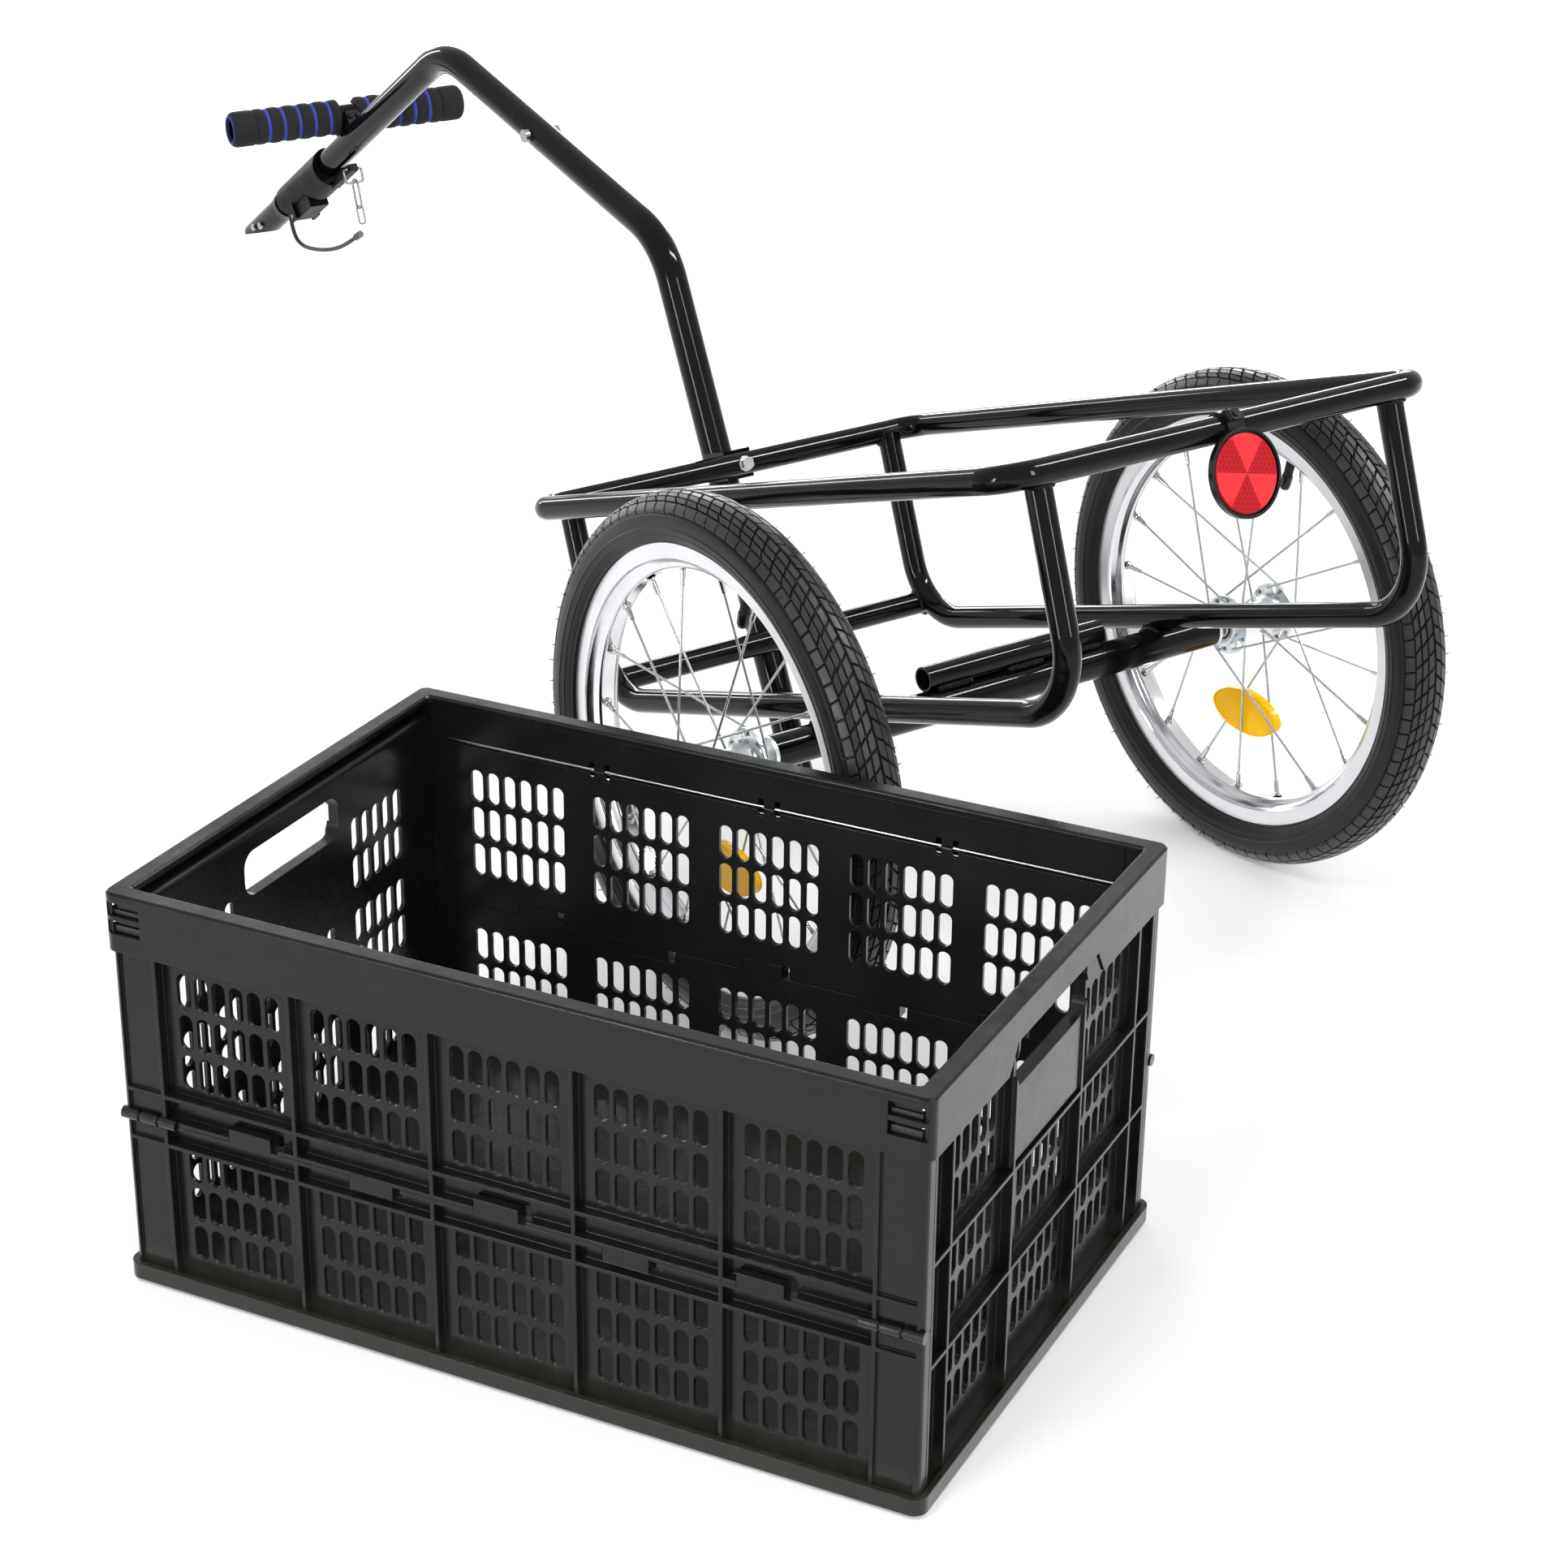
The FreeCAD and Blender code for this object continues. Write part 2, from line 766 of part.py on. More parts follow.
grip_length = grip_end - grip_half_gap
waist_pitch = grip_length / grip_waist_count
grip_profile = [
    (grip_half_gap, bar_radius + grip_clearance),
    (grip_half_gap, grip_radius - grip_round * grip_edge_share),
]
for step in range(grip_waist_count):
    begin = grip_half_gap + step * waist_pitch
    grip_profile.append((begin + waist_pitch * grip_swell_share, grip_radius))
    grip_profile.append((begin + waist_pitch * grip_fall_share, grip_radius))
    if step < grip_waist_count - 1:
        grip_profile.append((begin + waist_pitch * grip_trough_share, grip_radius - grip_waist_depth))
        grip_profile.append((begin + waist_pitch, grip_radius - grip_waist_depth))
grip_profile += [
    (grip_end - grip_round * grip_shoulder_share, grip_radius - grip_round * grip_shoulder_share),
    (grip_end, grip_radius - grip_round),
    (grip_end, bar_radius + grip_clearance),
]
nodes["grip_right"] = turned(grip_profile, bar_centre, bar_direction).cut(front_outer)
nodes["grip_left"] = turned(grip_profile, bar_centre, scaled(bar_direction, -1)).cut(front_outer)

bar_saddle = block(
    -bar_saddle_half_width, bar_saddle_half_width, -bar_saddle_half_length, bar_saddle_half_length, 0, bar_lift
)
bar_saddle.rotate(V(0, 0, 0), side, -math.degrees(front_run_angle))
bar_saddle.translate(front_run(bar_forward))
bar_saddle = bar_saddle.cut([front_outer, bar_outer, nodes["grip_left"], nodes["grip_right"]])
bar_screws = []
for step in (-1, 1):
    seat = front_run(bar_forward, (bar_lift + drawbar_radius) / 2, step * bar_screw_offset)
    seat = seat - scaled(front_run_direction, bar_saddle_half_length)
    bar_screws.append(fused([
        rod(seat, seat + scaled(front_run_direction, bar_screw_depth), bar_screw_radius),
        rod(seat, seat - scaled(front_run_direction, bar_screw_head_thickness), bar_screw_head_radius),
    ]))
nodes["handlebar_saddle"] = bar_saddle.cut(bar_screws)
nodes["handlebar_screws"] = Part.makeCompound(bar_screws)

# Hitch coupling on the drawbar's front end

sleeve_bore = drawbar_radius + sleeve_clearance
collar = rod(
    front_run(collar_rear, -collar_drop), front_run(collar_front, -collar_drop), collar_radius
)
neck = rod(front_run(collar_rear + overrun), front_run(sleeve_front), sleeve_radius)
bore_tool = rod(front_run(collar_rear - collar_radius), front_run(sleeve_front + collar_radius), sleeve_bore)


def run_box(rear, front, half_width, low, high):
    """A box along the front run between two forward stations."""
    shape = block(
        -half_width, half_width, 0, (front - rear) / math.cos(front_run_angle), low, high
    )
    shape.rotate(V(0, 0, 0), side, -math.degrees(front_run_angle))
    shape.translate(front_run(rear))
    return shape


trigger_top = sleeve_radius + trigger_gap
knuckle_radius = (trigger_drop - trigger_top) / 2
trigger_axis = front_run(trigger_pivot, -trigger_drop + knuckle_radius)
cheek_outer = trigger_half_width + trigger_gap + cheek_width
cheeks = run_box(
    trigger_pivot - cheek_half_length, trigger_pivot + cheek_half_length, cheek_outer, -trigger_drop, 0
)
cheek_gap = run_box(
    trigger_pivot - cheek_half_length * 2,
    trigger_pivot + cheek_half_length * 2,
    trigger_half_width + trigger_gap,
    -trigger_drop * 2,
    -drawbar_radius,
)
neck_clearance = rod(front_run(collar_front), front_run(sleeve_front + collar_radius), trigger_top)


def across_trigger(half_width, radius):
    return rod(trigger_axis - scaled(side, half_width), trigger_axis + scaled(side, half_width), radius)


sleeve = fused([
    collar, neck, cheeks.cut(cheek_gap)
]).cut([bore_tool, across_trigger(cheek_outer * 2, trigger_pin_radius)])
nodes["coupling_sleeve"] = largest(sleeve)
trigger = fused([
    run_box(trigger_rear, trigger_pivot, trigger_half_width, -trigger_drop, -trigger_drop / 2),
    across_trigger(trigger_half_width, knuckle_radius),
])
nodes["latch_trigger"] = largest(trigger.cut([
    neck_clearance, across_trigger(trigger_half_width * 2, trigger_pin_radius + trigger_pin_clearance)
]))
nodes["latch_pin"] = across_trigger(cheek_outer, trigger_pin_radius)

# A fixed tab under the collar's rear end, with an eye for the strap's ring
tab_middle = tab_drop + tab_thickness / 2
tab_hole_centre = front_run(tab_rear + tab_hole_setback, -tab_middle)
tab_hole = rod(
    tab_hole_centre - scaled(side, tab_half_width * 2),
    tab_hole_centre + scaled(side, tab_half_width * 2),
    tab_hole_radius,
)
tab = run_box(tab_rear, collar_rear + collar_drop, tab_half_width, -tab_drop - tab_thickness, -tab_drop)
nodes["coupling_tab"] = largest(tab.cut([tab_hole, nodes["coupling_sleeve"]]))

hitch_screws = []
for centre in hitch_screw_centres:
    seat = centre - scaled(side, drawbar_radius)
    hitch_screws.append(fused([
        rod(seat + scaled(side, drawbar_wall), seat, hitch_screw_radius),
        rod(seat, seat - scaled(side, hitch_screw_head_thickness), hitch_screw_head_radius),
    ]))
nodes["hitch_screws"] = Part.makeCompound(hitch_screws)

# Safety strap: a ring round the tube, the strap, its terminal, a clip, a link and a D ring

strap_ring = tube(
    front_run(strap_ring_forward - strap_ring_width / 2),
    front_run(strap_ring_forward + strap_ring_width / 2),
    drawbar_radius + strap_ring_thickness,
    drawbar_radius,
)


def wire_loop(centre, first, second, half_length, height, corner, radius):
    """A closed rounded loop of round wire hanging down from centre along second."""
    points = [
        centre + scaled(first, half_length),
        centre + scaled(first, half_length) + scaled(second, height),
        centre - scaled(first, half_length) + scaled(second, height),
        centre - scaled(first, half_length),
    ]
    start = centre
    edges = bent_edges([start] + points + [start], [corner] * 4)
    circle = Part.Wire([Part.makeCircle(radius, start, first)])
    return Part.Wire(edges).makePipeShell([circle], True, False)


down = V(0, 0, -1)
ring_top = tab_hole_centre
nodes["d_ring"] = wire_loop(
    ring_top,
    side,
    down,
    tab_half_width * 2 + ring_wire_radius,
    ring_height,
    ring_corner_radius / 2,
    ring_wire_radius,
)
link_top = ring_top + scaled(down, ring_height - ring_wire_radius - link_wire_radius - link_play)
link = wire_loop(
    link_top, forward, down, link_half_width, link_height, link_half_width * link_round_share, link_wire_radius
)
clip_top = link_top + scaled(down, link_height - link_wire_radius - clip_wire_radius - link_play)
clip = wire_loop(
    clip_top, side, down, clip_half_width, clip_height, clip_half_width * link_round_share, clip_wire_radius
)
nodes["strap_links"] = Part.makeCompound([link, clip])


def strap_path():
    """Straight runs with tangent arcs, and the radius of each arc."""
    radii = []
    for index in range(1, len(strap_points) - 1):
        back = strap_points[index - 1] - strap_points[index]
        on = strap_points[index + 1] - strap_points[index]
        half_turn = (math.pi - back.getAngle(on)) / 2
        radii.append(strap_arc_share * min(back.Length, on.Length) / math.tan(half_turn))
    return bent_edges(strap_points, radii), radii


strap_ring_centre = front_run(strap_ring_forward)
strap_points = [
    strap_ring_centre - scaled(forward, setback) - scaled(up, drop) for setback, drop in strap_setbacks_and_drops
]
strap_edges, strap_radii = strap_path()
print("strap bend radii", [round(radius, 1) for radius in strap_radii])
print("strap length", round(sum(edge.Length for edge in strap_edges), 1))
nodes["safety_strap"] = swept(strap_edges, strap_radius)
nodes["strap_ring"] = strap_ring.cut(nodes["safety_strap"])
nodes["coupling_sleeve"] = nodes["coupling_sleeve"].cut(nodes["strap_ring"])

terminal_start = strap_points[-1]
terminal_direction = strap_points[-1] - strap_points[-2]
terminal_direction.normalize()
terminal = rod(
    terminal_start, terminal_start + scaled(terminal_direction, terminal_length), terminal_radius
)
nodes["strap_terminal"] = terminal.cut(clip)

# Rear reflector on its clamp

clamp_centre = V(reflector_offset, loop_rear, loop_height)
clamp_half = scaled(side, clamp_width / 2)
clamp_band = rod(clamp_centre - clamp_half, clamp_centre + clamp_half, tube_radius + clamp_thickness)
clamp_low = loop_height - reflector_drop
housing_rear = loop_rear - tube_radius - reflector_setback
housing_front = housing_rear + reflector_housing_depth
lens_seat = housing_rear + reflector_lens_thickness
arm = block(
    reflector_offset - clamp_arm_half_width,
    reflector_offset + clamp_arm_half_width,
    housing_front,
    housing_front + clamp_arm_thickness,
    clamp_low - clamp_arm_reach / 2,
    loop_height,
)


def on_clamp(shape):
    """Swing a form drawn behind the clamp's axis up to the clamp's seam."""
    shape.rotate(V(0, 0, 0), side, -clamp_seam_deg)
    shape.translate(clamp_centre)
    return shape


clamp_face = -tube_radius - clamp_thickness
pad_face = clamp_face - clamp_pad_thickness
clamp_pad = on_clamp(block(
    -clamp_width / 2, clamp_width / 2, pad_face, clamp_face / 2, -clamp_pad_height / 2, clamp_pad_height / 2
))
clamp_ribs = [
    on_clamp(block(
        -clamp_rib_offset + step * clamp_rib_spacing - clamp_rib_width / 2,
        -clamp_rib_offset + step * clamp_rib_spacing + clamp_rib_width / 2,
        pad_face - clamp_rib_width,
        pad_face + clamp_rib_width,
        -clamp_pad_height / 2,
        clamp_pad_height / 2,
    ))
    for step in range(2)
]
clamp_bore = rod(clamp_centre - clamp_half * 2, clamp_centre + clamp_half * 2, tube_radius)
clamp_screw = on_clamp(fused([
    rod(V(clamp_screw_offset, clamp_face, 0), V(clamp_screw_offset, pad_face, 0), clamp_screw_radius),
    rod(
        V(clamp_screw_offset, pad_face, 0),
        V(clamp_screw_offset, pad_face - clamp_screw_head_thickness, 0),
        clamp_screw_head_radius,
    ),
]))
clamp = fused([clamp_band, arm, clamp_pad] + clamp_ribs).cut([clamp_bore, clamp_screw])
nodes["reflector_clamp"] = Part.makeCompound([largest(clamp), clamp_screw])

lens_radius = reflector_radius - reflector_wall - reflector_lens_clearance
reflector_axis_start = V(reflector_offset, 0, clamp_low)
reflector_housing = turned(
    [
        (-housing_front, 0.0),
        (-housing_front, reflector_radius * reflector_back_share),
        (-housing_front + reflector_housing_depth * reflector_flare_share, reflector_radius),
        (-housing_rear, reflector_radius),
        (-housing_rear, reflector_radius - reflector_wall),
        (-lens_seat, reflector_radius - reflector_wall),
        (-lens_seat, 0.0),
    ],
    reflector_axis_start,
    scaled(forward, -1),
)
nodes["reflector_housing"] = largest(reflector_housing.cut([clamp_band, clamp_pad, loop_outer] + clamp_ribs))
nodes["reflector_lens"] = turned(
    [
        (-lens_seat, 0.0),
        (-lens_seat, lens_radius),
        (-housing_rear, lens_radius),
        (-housing_rear + reflector_lens_dish, lens_radius * reflector_flat_share),
        (-housing_rear + reflector_lens_dish, 0.0),
    ],
    reflector_axis_start,
    scaled(forward, -1),
)

# Wheels, drawn about their own centre with x along the axle, then set on each side


def tyre_solid():
    """Tyre carcass with ribbed tread, open towards the rim."""
    bead = rim_half_width - rim_flange_wall - bead_clearance
    bead_radius = rim_flange_radius - rim_flange_height
    shoulder_radius = wheel_radius - tyre_shoulder_drop
    side_radius = (rim_flange_radius + shoulder_radius) / 2
    outer = [
        (bead, bead_radius),
        (bead, rim_flange_radius),
        (tyre_half_width * tyre_side_share, rim_flange_radius + rim_flange_wall * 2),
        (tyre_half_width, side_radius),
        (tyre_half_width * tyre_shoulder_share, shoulder_radius - tyre_crown_drop * tyre_shoulder_fall),
        (tyre_shoulder_half_width, shoulder_radius + tyre_crown_drop * tyre_shoulder_rise),
    ]
    crown = []
    grooves = int(tyre_shoulder_half_width / tyre_groove_pitch)
    for index in range(grooves, 0, -1):
        centre = index * tyre_groove_pitch - tyre_groove_pitch / 2
        for wall, sink in ((1, 0), (1, 1), (-1, 1), (-1, 0)):
            along = centre + wall * tyre_groove_width / 2
            fall = tyre_crown_drop * (along / tyre_shoulder_half_width) ** 2
            crown.append((along, wheel_radius - fall - sink * tyre_groove_depth))
    right = outer + crown
    left = [(-along, radius) for along, radius in reversed(right)]
    inner_bead = bead - tyre_wall
    inner = [
        (-inner_bead, bead_radius),
        (-inner_bead, rim_flange_radius),
        (-tyre_half_width + tyre_wall, side_radius),
        (-tyre_shoulder_half_width + tyre_wall / 2, wheel_radius - tyre_shoulder_drop - tyre_wall / 2),
        (tyre_shoulder_half_width - tyre_wall / 2, wheel_radius - tyre_shoulder_drop - tyre_wall / 2),
        (tyre_half_width - tyre_wall, side_radius),
        (inner_bead, rim_flange_radius),
        (inner_bead, bead_radius),
    ]
    return turned(right + left + inner, V(0, 0, 0), side)


def rim_solid():
    bed = rim_flange_radius - rim_flange_height
    nose = rim_flange_radius - rim_depth
    well = rim_half_width - rim_flange_wall
    outline = [
        (rim_half_width, rim_flange_radius),
        (well, rim_flange_radius),
        (well, bed),
        (rim_nose_half_width, bed - rim_flange_height / 2),
        (rim_nose_half_width * rim_well_share, nose + rim_bed_wall * rim_well_rise),
        (-rim_nose_half_width * rim_well_share, nose + rim_bed_wall * rim_well_rise),
        (-rim_nose_half_width, bed - rim_flange_height / 2),
        (-well, bed),
        (-well, rim_flange_radius),
        (-rim_half_width, rim_flange_radius),
        (-rim_half_width, bed - rim_bed_wall),
        (-rim_nose_half_width, nose),
        (rim_nose_half_width, nose),
        (rim_half_width, bed - rim_bed_wall),
    ]
    return turned(outline, V(0, 0, 0), side)


def wheel_point(along, radius, angle):
    return V(along, radius * math.cos(angle), radius * math.sin(angle))


spoke_step = 2 * math.pi / spoke_count
flange_step = 2 * spoke_step


def spoke_places():
    """For each spoke its rim angle, its hub hole angle, its flange side and its face."""
    places = []
    for index in range(spoke_count):
        flange = 1 if index % 2 else -1
        lead = 1 if (index // 2) % 2 else -1
        rim_angle = index * spoke_step
        hub_angle = rim_angle + lead * spoke_crosses * flange_step
        places.append((rim_angle, hub_angle, flange, lead))
    return places


def spoke_line(place):
    rim_angle, hub_angle, flange, lead = place
    gap = spoke_outer_gap if lead > 0 else spoke_inner_gap
    face = hub_flange_offset + lead * (hub_flange_thickness / 2 + spoke_radius + gap)
    inner = wheel_point(flange * face, spoke_hole_circle_radius, hub_angle)
    outer = wheel_point(0, rim_flange_radius - rim_depth, rim_angle)
    return inner, outer


def spokes_solid():
    solids = []
    for place in spoke_places():
        rim_angle, hub_angle, flange, lead = place
        inner, outer = spoke_line(place)
        far_face = hub_flange_offset - lead * (hub_flange_thickness / 2 + spoke_head_thickness + spoke_inner_gap)
        near_far_face = hub_flange_offset - lead * (hub_flange_thickness / 2 + spoke_inner_gap)
        head_end = wheel_point(flange * far_face, spoke_hole_circle_radius, hub_angle)
        head_start = wheel_point(flange * near_far_face, spoke_hole_circle_radius, hub_angle)
        axis = outer - inner
        axis.normalize()
        solids.append(fused([
            rod(inner, outer - scaled(axis, nipple_seat_gap), spoke_radius),
            Part.makeSphere(spoke_radius, inner),
            rod(inner, head_end, spoke_radius),
            rod(head_start, head_end, spoke_head_radius),
        ]))
    return Part.makeCompound(solids)


def nipples_solid():
    solids = []
    for place in spoke_places():
        inner, outer = spoke_line(place)
        axis = outer - inner
        axis.normalize()
        start = outer - scaled(axis, nipple_length + nipple_seat_gap)
        end = outer - scaled(axis, nipple_seat_gap * 2)
        solids.append(tube(start, end, nipple_radius, spoke_radius + nipple_bore_clearance))
    return Part.makeCompound(solids)


def hub_solid():
    half = hub_half_length
    flange_in = hub_flange_offset - hub_flange_thickness / 2
    flange_out = hub_flange_offset + hub_flange_thickness / 2
    pocket = half - bearing_width
    right = [
        (pocket, bearing_radius),
        (half, bearing_radius),
        (half, hub_barrel_radius),
        (flange_out, hub_barrel_radius),
        (flange_out, hub_flange_radius),
        (flange_in, hub_flange_radius),
        (flange_in, hub_barrel_radius),
        (flange_in - hub_fillet_length, hub_barrel_radius),
        (flange_in - hub_fillet_length * 2, hub_waist_radius),
    ]
    left = [(-along, radius) for along, radius in reversed(right)]
    core = [(-pocket, hub_core_bore_radius), (pocket, hub_core_bore_radius)]
    hub = turned(right + left + core, V(0, 0, 0), side)
    holes = []
    for rim_angle, hub_angle, flange, lead in spoke_places():
        holes.append(rod(
            wheel_point(flange * (flange_in - overrun), spoke_hole_circle_radius, hub_angle),
            wheel_point(flange * (flange_out + overrun), spoke_hole_circle_radius, hub_angle),
            spoke_hole_radius,
        ))
    return hub.cut(holes)


def bearing_solid(sign):
    bore = axle_bolt_radius + bearing_clearance
    groove = bore + bearing_race_wall
    groove_top = bearing_radius - bearing_race_wall
    inner = hub_half_length - bearing_width
    face = hub_half_length
    outline = [
        (inner, bore),
        (inner, bearing_radius),
        (face, bearing_radius),
        (face, groove_top),
        (face - bearing_groove_depth, groove_top),
        (face - bearing_groove_depth, groove),
        (face, groove),
        (face, bore),
    ]
    return turned([(sign * along, radius) for along, radius in outline], V(0, 0, 0), side)


def side_reflector_solid(spokes):
    """An oval plate clipped between the spokes below the hub."""
    half_length = side_reflector_length / 2
    half_height = side_reflector_height / 2
    angle = math.radians(side_reflector_angle_deg) + nose_down
    centre = wheel_point(-side_reflector_thickness, side_reflector_radius, angle)
    rim = Part.Ellipse(V(0, half_length, 0), V(0, 0, half_height), V(0, 0, 0))
    plate = Part.Face(Part.Wire([rim.toShape()])).extrude(V(side_reflector_thickness, 0, 0))
    plate.rotate(V(0, 0, 0), side, math.degrees(nose_down))
    plate.translate(centre)
    return largest(plate.cut(spokes))


def valve_solid():
    angle = math.radians(valve_angle_deg) + nose_down
    top = rim_flange_radius - rim_depth - nipple_seat_gap
    stem = rod(wheel_point(0, top, angle), wheel_point(0, top - valve_length, angle), valve_radius)
    cap_top = top - valve_length + valve_cap_length
    cap = rod(wheel_point(0, cap_top, angle), wheel_point(0, top - valve_length, angle), valve_cap_radius)
    return fused([stem, cap])


def axle_bolt_solid():
    """Bolt, washer and nut that hold one wheel, about the wheel's centre."""
    washer_in = hub_half_length + axle_washer_gap
    washer_out = washer_in + axle_washer_thickness
    nut_out = washer_out + axle_nut_length
    tip = nut_out + axle_bolt_tip
    bolt = fused([
        rod(V(tip - axle_bolt_length, 0, 0), V(tip, 0, 0), axle_bolt_radius),
        hex_prism(V(washer_out, 0, 0), side, axle_nut_across_flats, axle_nut_length),
    ])
    washer = tube(V(washer_in, 0, 0), V(washer_out, 0, 0), axle_washer_radius, axle_bolt_radius)
    return Part.makeCompound([bolt, washer])


spokes = spokes_solid()
wheel_parts = {
    "tyre": tyre_solid(),
    "rim": rim_solid(),
    "spokes": spokes,
    "nipples": nipples_solid(),
    "hub": hub_solid(),
    "hub_bearings": Part.makeCompound([bearing_solid(-1), bearing_solid(1)]),
    "side_reflector": side_reflector_solid(spokes),
    "valve": valve_solid(),
    "axle_bolt": axle_bolt_solid(),
}
axle_bolt = wheel_parts.pop("axle_bolt")
bolt_right = axle_bolt.copy()
bolt_right.translate(V(half_track, 0, 0))
nodes["axle_bolts"] = Part.makeCompound([bolt_right, mirror_x(bolt_right)])
for part_name, shape in wheel_parts.items():
    right = shape.copy()
    right.translate(V(half_track, 0, 0))
    left = mirror_x(shape)
    left.translate(V(-half_track, 0, 0))
    nodes[part_name + "_right"] = right
    nodes[part_name + "_left"] = left

# Pitch the trailer nose down about its axle and lift it on its wheels

for shape in nodes.values():
    shape.rotate(V(0, 0, 0), side, -nose_down_deg)
    shape.translate(V(0, 0, wheel_radius))

# Crate, about its own centre on the floor: x along it, y across it

crate = {}
half_l = crate_length / 2
half_w = crate_width / 2
band_bottom = crate_height - crate_band_height
inner_corner = crate_corner_radius * crate_inner_corner_share


def rounded_plate(half_x, half_y, radius, z0, z1):
    box = block(-half_x, half_x, -half_y, half_y, z0, z1)
    upright = [edge for edge in box.Edges if abs(edge.tangentAt(edge.FirstParameter).z) > 0.5]
    return box.makeFillet(radius, upright)


def rounded_shell(half_x, half_y, radius, wall, inner_radius, z0, z1):
    outer = rounded_plate(half_x, half_y, radius, z0, z1)
    inner = rounded_plate(half_x - wall, half_y - wall, inner_radius, z0 - overrun, z1 + overrun)
    return outer.cut(inner)


def signed_block(sign_x, x0, x1, sign_y, y0, y1, z0, z1):
    """A block given for the positive quarter and set in the quarter of the two signs."""
    xs = sorted((sign_x * x0, sign_x * x1))
    ys = sorted((sign_y * y0, sign_y * y1))
    return block(xs[0], xs[1], ys[0], ys[1], z0, z1)


inner_half_w = half_w - crate_side_inset - crate_skin - crate_rib_depth
end_half_width = inner_half_w - end_wall_gap
end_outer = half_l - crate_side_inset - crate_fit_gap
end_inner = end_outer - end_rib_depth - end_skin
pivot_x = end_outer - (end_rib_depth + end_skin) / 2

# Rim frame: deep outer band, top ledge, corner pockets, and four blocks that take the end walls' pivots
band = rounded_shell(
    half_l,
    half_w,
    crate_corner_radius,
    crate_band_wall,
    crate_corner_radius - crate_band_wall,
    band_bottom,
    crate_height,
)
ledge = rounded_shell(
    half_l - crate_band_wall,
    half_w - crate_band_wall,
    crate_corner_radius - crate_band_wall,
    crate_ledge_width - crate_band_wall,
    inner_corner,
    crate_height - crate_ledge_thickness,
    crate_height,
)
rim_frame = fused([band, ledge])
top_edges = [edge for edge in rim_frame.Edges if edge.BoundBox.ZMin > crate_height - crate_top_chamfer / 2]
rim_frame = rim_frame.makeChamfer(crate_top_chamfer, top_edges)
notches = []
for sign in (-1, 1):
    outline = [
        V(sign * (half_l + overrun), -crate_notch_half_width - crate_notch_slope, band_bottom - overrun),
        V(sign * (half_l + overrun), -crate_notch_half_width, band_bottom + crate_notch_height),
        V(sign * (half_l + overrun), crate_notch_half_width, band_bottom + crate_notch_height),
        V(sign * (half_l + overrun), crate_notch_half_width + crate_notch_slope, band_bottom - overrun),
    ]
    face = Part.Face(Part.makePolygon(outline + outline[:1]))
    notches.append(face.extrude(V(-sign * crate_band_wall * 3, 0, 0)))
hinge_blocks = []
block_cutters = []
pockets = []
block_out = end_outer
block_in = block_out - hinge_block_length
block_low = pivot_height - hinge_block_reach
pocket_out = half_l - crate_pocket_margin / 2
for sign_x in (-1, 1):
    for sign_y in (-1, 1):
        hinge_blocks.append(signed_block(
            sign_x,
            block_in,
            block_out,
            sign_y,
            inner_half_w,
            inner_half_w + hinge_block_thickness,
            block_low,
            crate_height - crate_ledge_thickness + hinge_block_sink,
        ))
        block_cutters.append(signed_block(
            sign_x,
            block_in - crate_fit_gap,
            half_l,
            sign_y,
            inner_half_w - crate_fit_gap,
            inner_half_w + hinge_block_thickness + crate_fit_gap,
            block_low - crate_fit_gap,
            crate_height,
        ))
        for step in range(2):
            pocket_top = crate_height - crate_pocket_margin - step * crate_pocket_pitch
            pockets.append(signed_block(
                sign_x,
                pocket_out - crate_pocket_width,
                pocket_out,
                sign_y,
                half_w - crate_band_wall,
                half_w + overrun,
                pocket_top - crate_pocket_height,
                pocket_top,
            ))
pivot_holes = []
for sign_x in (-1, 1):
    pivot_holes.append(rod(
        V(sign_x * pivot_x, -end_half_width - end_wall_gap - end_pivot_length, pivot_height),
        V(sign_x * pivot_x, end_half_width + end_wall_gap + end_pivot_length, pivot_height),
        end_pivot_radius + end_pivot_clearance,
    ))
crate["crate_rim"] = fused([rim_frame] + hinge_blocks).cut(notches + pockets + pivot_holes)

# Base tray
tray_half_l = half_l + crate_lip_outset
tray_half_w = half_w + crate_lip_outset
tray_radius = crate_corner_radius + crate_lip_outset
tray = rounded_shell(
    tray_half_l,
    tray_half_w,
    tray_radius,
    crate_lip_wall,
    tray_radius - crate_lip_wall,
    crate_foot_height,
    crate_lip_height,
)
floor = rounded_plate(
    tray_half_l, tray_half_w, tray_radius, crate_foot_height, crate_foot_height + crate_floor_thickness
)
foot = rounded_shell(
    half_l - crate_foot_inset,
    half_w - crate_foot_inset,
    inner_corner,
    crate_foot_width,
    inner_corner,
    0,
    crate_foot_height,
)
crate["crate_base"] = fused([tray, floor, foot])

# Long walls in two halves with crossing tabs, slotted skin, outer ribs and corner posts


def slot_wire(x, z, width, length):
    """A round-ended upright slot in the plane y = 0."""
    radius = width / 2
    low = z + radius
    high = z + length - radius
    return Part.Wire([
        Part.LineSegment(V(x - radius, 0, low), V(x - radius, 0, high)).toShape(),
        Part.Arc(V(x - radius, 0, high), V(x, 0, z + length), V(x + radius, 0, high)).toShape(),
        Part.LineSegment(V(x + radius, 0, high), V(x + radius, 0, low)).toShape(),
        Part.Arc(V(x + radius, 0, low), V(x, 0, z), V(x - radius, 0, low)).toShape(),
    ])


def spaced(count, pitch):
    return [(index - (count - 1) / 2) * pitch for index in range(count)]


wall_half_length = half_l - crate_side_inset - crate_fit_gap
wall_depth = crate_skin + crate_rib_depth


def slotted_skin(outline, slots, thickness):
    wires = [Part.makePolygon(outline + outline[:1])] + slots
    return Part.makeFace(wires, "Part::FaceMakerBullseye").extrude(V(0, thickness, 0))


